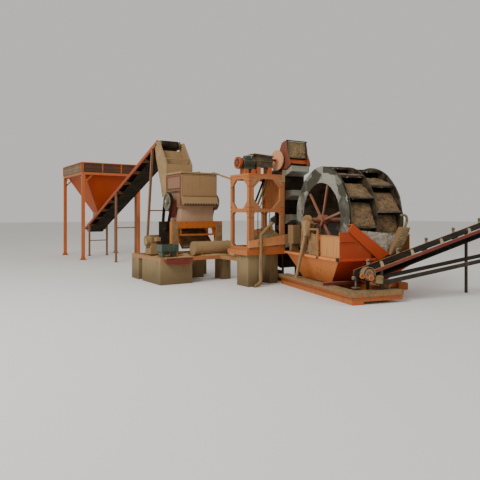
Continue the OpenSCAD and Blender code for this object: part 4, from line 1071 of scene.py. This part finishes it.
@step("drifts", "Dust drifts")
def build_drifts():
    """Dust and spilt sand on the crusher's skid, caked dust on its frame and sand in the tower's trough."""
    piece("skid_dust", [
        drift((-0.45, -1.38, 0.8), (0.78, -0.95, 0.8), 0.075, 1.3),
        drift((-1.7, -1.38, 0.8), (-0.55, -1.28, 0.8), 0.05, 7.7),
        drift((-1.0, -0.98, 0.8), (-0.5, -0.66, 0.8), 0.1, 4.1),
        drift((-1.72, -0.9, 0.8), (-1.05, -0.62, 0.8), 0.07, 9.2)], "dry dust")
    low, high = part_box("crusher_frame")
    cakes = []
    for x0, x1, foot, seed in ((low.x + 0.01, low.x + 0.24, 0.86, 2.0), (high.x - 0.24, high.x - 0.01, 0.9, 6.0)):
        def post(u, v):
            x = x0 + (x1 - x0) * u
            z = foot + (high.z - 0.03 - foot) * v
            patchy = 0.6 + noise.noise(Vector((x * 6, z * 3, seed)))
            return Vector((x, low.y - ease(u, 8) * ease(v, 12) * 0.014 * max(0.1, patchy) + 0.002, z))
        cakes.append(thicken(new_sheet(10, 30, post), 0.004, 1.0))
    piece("frame_cake", cakes, "frame crust")
    left, right, front, back = 0.405, 1.345, -3.11, -2.75

    def bed(u, v):
        x = left + (right - left) * u
        y = front + (back - front) * v
        return Vector((x, y, 1.3 + 0.17 * u + 0.14 * v + lumps((x, y, 0), 5, 0.05, 2.0)))
    piece("trough_sand", [extrude_all(new_sheet(34, 12, bed), (0, 0, -0.01), 1.25)], "crust")


@step("skid_fittings", "Belt guard and bent plate")
def build_skid_fittings():
    """Belt guard between motor and crusher, and the bent maroon plate on the front of the skid."""
    panel = new_box((-1.19, -0.03, 0.8), (-0.8, 0.0, 1.86))
    for side in (-1, 1):
        recess(panel, Y, side, 0.03, -side * 0.012)
    piece("belt_guard", [soften(panel, 0.004)], "dark")
    shell = [(-1.63, 0.8), (-1.65, 0.74), (-1.6, 0.66), (-1.48, 0.6), (-1.0, 0.56), (-0.85, 0.55), (-0.77, 0.62),
             (-0.76, 0.8)]
    plate = recess(put_in(new_plate(shell, 0.16), at(0, -1.56, 0)), Y, -1, 0.02, 0.012)
    piece("skid_bent_plate", [soften(plate, 0.008, 2)], "maroon")


# Tower, deck and elevator
@step("tower_trim", "Tower plates and bolts")
def build_tower_trim():
    """Corner plates and rows of bolts on the tower's frames."""
    low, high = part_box("tower_sides")
    bracket = new_plate([(1.4, 3.05), (1.52, 3.05), (1.52, 3.42), (1.46, 3.42), (1.4, 3.24)], 0.014)
    parts = [put_in(bracket, at(0, low.y - 0.014, 0))]
    for x, side in ((0.35, 1), (1.4, -1)):
        gusset = new_plate([(x, 3.12), (x + side * 0.2, 3.12), (x, 2.92)], 0.012)
        parts.append(put_in(gusset, at(0, low.y - 0.012, 0)))
    piece("tower_corner_plates", parts, "tan")
    places = []
    for z in (1.12, 1.3, 2.0, 2.18, 2.3, 2.9, 3.05, 3.16):
        places += [facing((x, low.y, z), (0, -1, 0)) for x in (0.3, 0.37, 1.385, 1.455)]
        places += [facing((low.x, y, z), (-1, 0, 0))
                   for y in (low.y + 0.03, low.y + 0.08, high.y - 0.08, high.y - 0.03)]
    bolts("tower_bolts", 0.013, places)


@step("tower_strands", "Tower belts and chains")
def build_tower_strands():
    """Drive belts that lean across the tower's upper opening and chains that hang in the lower one."""
    top, bottom = 3.2, 2.3
    piece("tower_drive_belts", [new_beam((x + 0.42, -2.75, top), (x - 0.06, -2.85, bottom), 0.06, 0.02, soft=0.005)
                                for x in (0.62, 0.74)], "black belt")
    piece("tower_slats", [new_beam((x + 0.46, -2.8, top), (x - 0.02, -2.9, bottom), 0.035, 0.012, soft=0.003)
                          for x in (0.66, 0.78)], "tan")
    bpy.ops.mesh.primitive_torus_add(major_segments=14, minor_segments=6, major_radius=0.022, minor_radius=0.006)
    link = bpy.context.object
    link.scale = (0.75, 1.35, 1.0)
    apply_place(link)
    places = [at(x, -2.75, 2.26 - i * 0.045) @ turned("Z", i % 2 * QUARTER) @ turned("X", QUARTER)
              for x in (0.5, 0.64, 0.79, 0.93, 1.08, 1.22) for i in range(18)]
    piece("tower_chains", [repeat("tower_chains", link, places)], "dark", round_off=True)


@step("elevator_trim", "Elevator trim")
def build_elevator_trim():
    """Lips and side plates of the elevator's buckets, and the flanges of its frame."""
    low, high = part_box("elevator_frame")
    left, right, root, tip = low.x + 0.07, high.x - 0.07, -2.645, -2.9543
    lips = []
    for i in range(4):
        z = 3.44 - i * 0.75
        lip = new_box((left, tip - 0.006, z + 0.1), (right, tip, z + 0.15))
        lips.append(recess(lip, Y, -1, 0.012, 0.003))
        for x in (left, right - 0.008):
            cheek = new_plate([(root, z - 0.15), (tip, z - 0.02), (tip, z + 0.15), (root, z + 0.15)], 0.008)
            lips.append(put_in(cheek, at(x, 0, 0) @ turned("Z", QUARTER)))
    piece("bucket_lips", lips, "bucket grey")
    piece("elevator_flanges", [new_beam((x, low.y + 0.02, 0.05), (x, low.y + 0.02, high.z), 0.05, 0.02, soft=0.004)
                               for x in (low.x + 0.015, high.x - 0.015)], "maroon")


@step("elevator_head", "Elevator head")
def build_elevator_head():
    """Hood round the bucket that tips at the elevator's head, with a sandy face and a red bar under it."""
    low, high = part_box("elevator_frame")
    outline = [(-2.42, 3.5), (-2.42, 4.08), (-2.45, 4.2), (-2.52, 4.31), (-2.62, 4.37), (-2.75, 4.38),
               (-2.79, 4.2), (-2.82, 4.0), (-2.93, 3.76), (-2.96, 3.62), (-2.76, 3.5)]
    sides = [put_in(new_plate(outline, 0.02), at(x, 0, 0) @ turned("Z", QUARTER) @ at(0, -0.02, 0))
             for x in (low.x + 0.012, high.x - 0.032)]
    piece("elevator_head_sides", [soften(side, 0.005) for side in sides], "maroon")
    left, right = low.x + 0.032, high.x - 0.032

    def surface(u, v):
        rough = lumps((u * 3, v * 3, 0), 2.3, 0.02, 5.0)
        return Vector((left + (right - left) * u, -2.735 - 0.03 * (1 - v) + rough, 3.84 + 0.52 * v))
    piece("elevator_head_face", [thicken(new_sheet(22, 18, surface), 0.012)], "crust")
    bars = [new_beam(a, b, 0.04, 0.035, (0, 1, 0), 0.006) for a, b in (
        ((left + 0.02, -2.79, 3.82), (left + 0.02, -2.76, 4.37)),
        ((right - 0.025, -2.79, 3.82), (right - 0.025, -2.76, 4.37)),
        ((left, -2.79, 3.85), (right, -2.79, 3.85)),
        ((left - 0.02, -2.76, 4.385), (right + 0.04, -2.76, 4.385)))]
    back = new_plate([(left, 3.5), (right, 3.5), (right, 3.84), (left, 3.84)], 0.01)
    piece("elevator_head_frame", [*bars, put_in(back, at(0, -2.72, 0))], "dark")
    bar = new_box((left + 0.06, -2.81, 3.675), (right + 0.02, -2.76, 3.795))
    piece("elevator_head_bar", [soften(recess(bar, Y, -1, 0.012, 0.012), 0.004)], "bright orange")


# Washer
def sector():
    """Angle from one bucket of the wheel to the next."""
    return 2 * math.pi / bpy.context.scene.washer_sizes.buckets


@step("ring_plates", "Wheel ring plates")
def build_ring_plates():
    """Overlapping grey plates on the outer faces of the wheel's two side rings, folded and dented."""
    s = bpy.context.scene.washer_sizes
    inner, outer = s.ring + 0.008, s.radius - 0.006
    plates = []
    for side, flip in ((0, turned("X", math.pi)), (1, at(0, 0, s.width))):
        for i in range(s.buckets):
            seed = i * 3.7 + side * 50

            def surface(u, v):
                a = sector() * (u * 1.06 - 0.03)
                r = inner + (outer - inner) * v - 0.03 * abs(u - 0.5) * v
                fold = abs(math.sin((u * 1.7 + v * 0.9 + seed) * 2.6)) * 0.018
                dent = 0.012 + fold + 0.014 * u + 0.012 * noise.noise(Vector((u * 2.5, v * 2.5, seed)))
                return Vector((r * math.cos(a), r * math.sin(a), dent))
            plate = thicken(new_sheet(7, 5, surface), 0.006)
            plates.append(put_in(plate, around_wheel(s.phase + (i + 1 - side) * sector()) @ flip))
    piece("ring_plates", plates, "bare", body="bucket_wheel")


def bucket_line(t, lift=0.0):
    """Point on a bucket's outer wall, from its inner edge at t = 0 to its lip at t = 1, as (x, y)."""
    s = bpy.context.scene.washer_sizes
    a = -0.96 * sector()
    inner = Vector((math.cos(a), math.sin(a))) * (s.radius - s.mouth)
    outer = Vector((s.radius - 0.004, 0.0))
    along = (outer - inner).normalized()
    return inner + (outer - inner) * t + Vector((along.y, -along.x)) * lift


def wheel_rows():
    """Start along the shaft, width, turn and seed of each bucket in both rows."""
    s = bpy.context.scene.washer_sizes
    plate = 0.02
    width = (s.width - 3 * plate) / 2
    for row in range(2):
        for i in range(s.buckets):
            yield plate + row * (width + plate), width, s.phase + i * sector() + row * sector() / 2, row * 50 + i


@step("bucket_lips", "Wheel bucket lips")
def build_bucket_lips():
    """Folded lips at the mouths of the wheel's buckets, bent by use."""
    end = bucket_line(1.0)
    lips = []
    for start, width, turn, seed in wheel_rows():
        lip = new_box((end.x - 0.07, end.y - 0.006, start + 0.004), (end.x, end.y + 0.008, start + width - 0.004))
        with edit(lip):
            pick_side(X, 1)
            push(-0.004, -0.034, 0)
        roughen(divide(lip, 4), 0.007, 5.0, seed)
        lips.append(put_in(lip, around_wheel(turn)))
    piece("wheel_bucket_lips", lips, "lip steel", body="bucket_wheel")


@step("wheel_sand", "Sand on the wheel")
def build_wheel_sand():
    """Coarse sand that clings to the outer walls of the buckets and hangs under some of their lips."""
    end = bucket_line(1.0)
    crusts, clods = [], []
    for start, width, turn, seed in wheel_rows():
        def surface(u, v):
            rough = noise.fractal(Vector((u * 4.5 + seed, v * 4.5, seed * 1.7)), 0.8, 2.1, 6)
            ragged = 0.5 + 0.5 * noise.noise(Vector((u * 3 + seed * 3, v * 3, 2.0)))
            lift = ease(u, 14) * ease(v, 7) * (0.016 + 0.034 * ragged + 0.03 * rough) - 0.004
            return Vector((*bucket_line(0.03 + 0.93 * v, lift), start + 0.004 + (width - 0.008) * u))
        crusts.append(put_in(new_sheet(30, 18, surface), around_wheel(turn)))
        for i in range(5):
            size = 0.02 + 0.028 * random.random()
            z = start + width * (0.12 + 0.76 * random.random())
            bpy.ops.mesh.primitive_ico_sphere_add(subdivisions=2, radius=size)
            clod = bpy.context.object
            clod.scale = (0.7, 1.2 + random.random(), 1.3)
            apply_place(clod)
            with edit(clod, "SELECT"):
                bpy.ops.mesh.vertices_smooth(factor=0.3)
            roughen(clod, size * 0.7, 22.0, seed + i)
            put_in(clod, at(end.x - 0.03 - size * 0.5, end.y - 0.012 - size * 0.7, z))
            clods.append(put_in(clod, around_wheel(turn)))
    piece("wheel_sand", [mend_normals(join("wheel_sand", crusts))], "sand", body="bucket_wheel")
    piece("wheel_clods", clods, "sand", body="bucket_wheel")


@step("wheel_bearings", "Wheel bearing caps")
def build_wheel_bearings():
    """Caps, feet and bolts of the wheel's two bearings."""
    s = bpy.context.scene.washer_sizes
    foot = s.axis_z - 0.04
    parts, places = [], []
    for x in (-0.43, s.width + 0.43):
        cap = new_rod((x - 0.05, 0, s.axis_z), (x + 0.05, 0, s.axis_z), 0.15, 32)
        with edit(cap):
            pick_side(X, 0)
            bpy.ops.mesh.inset(thickness=0.03)
            push(0, 0, 0)
            bpy.ops.mesh.inset(thickness=0.02)
        parts.append(cap)
        for y in (-0.2, 0.2):
            parts.append(new_box((x - 0.07, y - 0.055, s.axis_z - 0.09), (x + 0.07, y + 0.055, foot), 0.01))
            places.append(washer_frame() @ facing((x, y, foot), (0, 0, 1)))
            parts.append(new_box((x - 0.09, y * 1.3 - 0.07, s.rim_z),
                                 (x + 0.09, y * 1.3 + 0.07, s.rim_z + 0.02), 0.004))
    piece("wheel_bearing_caps", parts, "tan", washer_frame(), True)
    bolts("wheel_bearing_bolts", 0.024, places)


@step("tank_trim", "Tank ledges and clips")
def build_tank_trim():
    """Ledges and dark clips of the washer's tank, and the caked hoop beside the wheel's bearing."""
    rim = bpy.context.scene.washer_sizes.rim_z
    left, near = -0.46, -1.65
    place = washer_frame()
    ledges = [new_box((left, near - 0.085, 1.415), (-0.02, near - 0.05, 1.44), 0.004)]
    for z in (rim + 0.02, rim + 0.56):
        ledges.append(new_box((left - 0.018, near - 0.03, z - 0.02), (left, near + 1.31, z), 0.004))
    piece("tank_ledges", ledges, "pale orange", place)
    clips = []
    for y in (near - 0.03, near + 0.97):
        clip = new_box((left - 0.075, y - 0.035, rim - 0.07), (left - 0.02, y + 0.035, rim + 0.03))
        clips.append(soften(recess(clip, X, -1, 0.012, 0.01), 0.004))
    piece("tank_clips", clips, "dark", place)
    piece("bearing_hoop", [
        new_beam((-0.54, -0.11, 1.69), (-0.54, -0.79, 1.7), 0.05, 0.05, soft=0.006),
        new_beam((-0.54, -0.765, 1.7), (-0.54, -0.765, rim - 0.02), 0.05, 0.06, soft=0.006),
        new_beam((-0.54, -0.765, 1.1), (-0.47, -0.765, 1.1), 0.05, 0.05, (0, 1, 0), 0.006)],
        "bearing orange", place)

    def caked(u, v):
        y = -0.22 - 0.5 * u
        z = rim + 0.02 + (0.4 + 0.25 * (1 - u)) * v
        edge = ease(u, 9) * min(1.0, (1 - v) * 9)
        return Vector((-0.475 - edge * (0.03 + lumps((y, z, 0), 5, 0.03, 8.0)), y, z))
    piece("bearing_cake", [thicken(new_sheet(20, 20, caked), 0.012)], "frame crust", place)


@step("wheel_guard", "Strap beside the wheel")
def build_wheel_guard():
    """Bent, sand-coated strap that rises from the funnel's right plate beside the wheel."""
    path = [(1.45, 1.7), (1.48, 1.8), (1.52, 1.9), (1.53, 2.0), (1.49, 2.06), (1.42, 2.08), (1.33, 2.07)]
    points = [(x, -1.7, z) for x, z in path]
    straps = [new_beam(p, q, 0.06, 0.05, (0, 1, 0)) for p, q in zip(points, points[1:])]
    piece("funnel_strap", [soften(strap, 0.01, 2) for strap in straps], "crust", washer_frame())


@step("chute_sand", "Sand in the funnel")
def build_chute_sand():
    """Washed sand that slides down the funnel to the discharge belt, and the crust on its right plate."""
    place = washer_frame()

    def slope(u, v):
        left = Vector((0.15 + 0.79 * (1 - v), 1.69 - 0.56 * (1 - v)))
        right = Vector((0.985 + 0.29 * v, 1.09 + 0.495 * v))
        p = left + (right - left) * u
        bulge = math.sin(math.pi * min(1.0, max(0.0, u)))
        return Vector((p.x, -1.592 - 0.06 * bulge * (1.2 - v) + lumps((p.x, p.y, 0), 6, 0.02, 3.0), p.y))
    piece("funnel_sand", [thicken(new_sheet(30, 26, slope), 0.012)], "wet sand", place)

    def cheek(u, v):
        low = Vector((0.99 + 0.3 * u, 1.085 + 0.1 * u))
        high = Vector((1.39 + 0.2 * u, 1.755 - 0.02 * u))
        p = low + (high - low) * v + Vector((0.04 * math.sin(math.pi * v) * u, 0))
        rise = ease(u, 24) * ease(v, 24) * (0.008 + lumps((p.x, p.y, 0), 14, 0.012, 6.0))
        return Vector((p.x, -1.738 - rise, p.y))
    piece("funnel_crust", [thicken(new_sheet(24, 40, cheek), 0.008)], "crust", place)


@step("prop", "Prop pole")
def build_prop():
    """Caked pole that leans from the wheel's bearing to the skid's deck."""
    top = Vector((-0.62, -0.26, 1.62))
    foot = Vector((-0.58, 0.4, 0.31))
    pole = roughen(divide(new_rod(foot, top, 0.05, 16), 3), 0.012, 6.0, 2.0)
    shoe = new_box(foot + Vector((-0.04, -0.09, -0.01)), foot + Vector((0.1, 0.09, 0.03)), 0.01)
    clamp = new_box(top + Vector((-0.06, -0.08, -0.12)), top + Vector((0.11, 0.1, 0.3)))
    roughen(divide(clamp, 4, 2), 0.05, 6.0, 5.0)
    piece("prop_pole", [pole, shoe, clamp], "tan", washer_frame(), True)


@step("skid_angles", "Skid rails")
def build_skid_angles():
    """Angle irons on the washer's skid, its sandy edges, the sump inside it and the sand on its deck."""
    place = washer_frame()
    front, deck = -2.42, 0.3
    across = (0, 1, 0)
    piece("skid_rail", [
        new_beam((-0.66, -1.25, 0.34), (0.47, -1.25, 0.34), 0.014, 0.08, across, 0.003),
        new_beam((-0.66, -1.205, 0.374), (0.47, -1.205, 0.374), 0.09, 0.014, across, 0.003)], "maroon", place)
    # Pale disc paint is painted light: the channel lies in shade under the belt, and the paler paint makes it look
    # lit.
    piece("skid_channel_painted_light", [
        new_beam((0.6, -2.25, 0.348), (0.6, -0.86, 0.348), 0.014, 0.096, soft=0.004),
        new_beam((0.63, -2.25, 0.393), (0.63, -0.86, 0.393), 0.08, 0.014, soft=0.004)], "disc", place)
    lips = [new_beam((-0.64, front - 0.02, 0.244), (0.835, front - 0.02, 0.244), 0.046, 0.114, across),
            new_beam((-0.63, front + 0.004, 0.27), (-0.63, 1.5, 0.27), 0.036, 0.07)]
    piece("skid_lip", [roughen(divide(lip, 24), 0.01, 7.0, 4.0) for lip in lips], "frame crust", place)
    # Dark mud sheet in the pit: painted shade where the floor would otherwise show bright.
    piece("skid_pit_shade", [drift((-0.31, -2.15, 0.03), (0.48, -0.72, 0.03), 0.06, 2.2, 24, 24)], "mud", place)
    piece("skid_sand", [
        drift((-0.6, front + 0.01, deck), (0.82, front + 0.25, deck), 0.03, 5.5, 60, 14),
        drift((-0.6, front + 0.25, deck), (-0.33, 1.48, deck), 0.03, 8.5, 14, 70)], "crust", place)


# Discharge conveyor
@step("idlers", "Discharge idlers")
def build_discharge_idlers():
    """White idler brackets on the stringers with their side rollers under the belt."""
    count = bpy.context.scene.discharge_sizes.idlers
    gap = 6.4 / count
    brackets, rollers = [], []
    for i in range(count):
        x = 0.4 + i * gap
        for side in (-1, 1):
            bracket = new_plate([(x - 0.05, 0.11), (x + 0.05, 0.11), (x + 0.03, 0.24), (x - 0.03, 0.24)], 0.02)
            brackets.append(soften(put_in(bracket, at(0, side * 0.285 - 0.01, 0)), 0.004))
            roller = new_rod((x, side * 0.23, 0.2), (x, side * 0.275, 0.235), 0.03, 14)
            with edit(roller):
                pick(lambda n: abs(n.y) > 0.5 and abs(n.x) < 0.1)
                bpy.ops.mesh.inset(thickness=0.008)
            rollers.append(roller)
    piece("idler_brackets", brackets, "cream", discharge_frame())
    piece("side_rollers", rollers, "grey", discharge_frame(), True)


@step("tail_unit", "Tail cover and bearings")
def build_tail_unit():
    """Sand-caked guard and bearing rings at the tail of the discharge conveyor, its foot block and jack."""
    place = washer_frame() @ at(0, -2.07, 0)
    hub_x, hub_z = -0.086, 0.7
    near = (0, -1, 0)

    def arch(u, v):
        a = math.radians(-20 + 225 * u)
        r = 0.158 + lumps((u * 4, v * 3, 0), 2.0, 0.012, 4.0)
        return Vector((hub_x + r * math.cos(a), -0.345 + 0.15 * v, hub_z + r * math.sin(a)))
    piece("tail_guard", [thicken(new_sheet(26, 8, arch), 0.018)], "crust", place)
    collar = put_in(soften(new_ring(0.125, 0.06, 0.03, 36), 0.008), facing((hub_x, -0.32, hub_z), near))
    hub = recess(new_rod((hub_x, -0.3, hub_z), (hub_x, -0.34, hub_z), 0.05, 24), Y, -1, 0.016, 0.01)
    piece("tail_hub", [collar, hub], "pink", place, True)
    bearings = []
    for x, z, r in ((-0.29, 0.665, 0.062), (-0.045, 0.615, 0.072)):
        bearings.append(put_in(soften(new_ring(r, r * 0.5, 0.04, 32), 0.008), facing((x, -0.345, z), near)))
        bearings.append(recess(new_rod((x, -0.31, z), (x, -0.36, z), r * 0.32), Y, -1, 0.008, -0.008))
    bearings.append(new_beam((-0.33, -0.318, 0.67), (0.06, -0.318, 0.6), 0.05, 0.02, (0, 0, 1), 0.004))
    piece("tail_bearings", bearings, "orange", place, True)
    block = divide(new_box((0.1, -0.36, 0.46), (0.3, -0.21, 0.66)), 6, 3)
    piece("tail_block", [roughen(block, 0.045, 6.0, 1.5)], "crust", place)
    stem = recess(new_rod((-0.12, 0.18, 0.31), (-0.12, 0.18, 0.56), 0.028, 14), Z, 1, 0.006)
    base = new_box((-0.2, 0.1, 0.3), (-0.04, 0.26, 0.33), 0.006)
    head = soften(new_box((-0.22, 0.13, 0.5), (-0.06, 0.23, 0.6)), 0.03, 3)
    piece("tail_jack", [stem, base, head], "grey", place, True)


class PLANT_PT_line(bpy.types.Panel):
    """Sidebar panel that lists the steps and the sizes"""
    bl_idname = "PLANT_PT_line"
    bl_label = "Crushing line"
    bl_space_type = "VIEW_3D"
    bl_region_type = "UI"
    bl_category = "Crushing line"

    def draw(self, context):
        for kind in STEPS:
            self.layout.operator(kind.bl_idname)
        for name in SIZES:
            sizes = getattr(context.scene, name)
            for key in sizes.__annotations__:
                self.layout.prop(sizes, key)


def register():
    for name, kind in SIZES.items():
        bpy.utils.register_class(kind)
        setattr(bpy.types.Scene, name, PointerProperty(type=kind))
    for kind in (*STEPS, PLANT_PT_line):
        bpy.utils.register_class(kind)


def unregister():
    for kind in (PLANT_PT_line, *reversed(STEPS)):
        bpy.utils.unregister_class(kind)
    for name, kind in SIZES.items():
        delattr(bpy.types.Scene, name)
        bpy.utils.unregister_class(kind)


def main():
    random.seed(7)
    register()
    for kind in STEPS:
        group, call = kind.bl_idname.split(".")
        getattr(getattr(bpy.ops, group), call)()


if __name__ == "__main__":
    main()
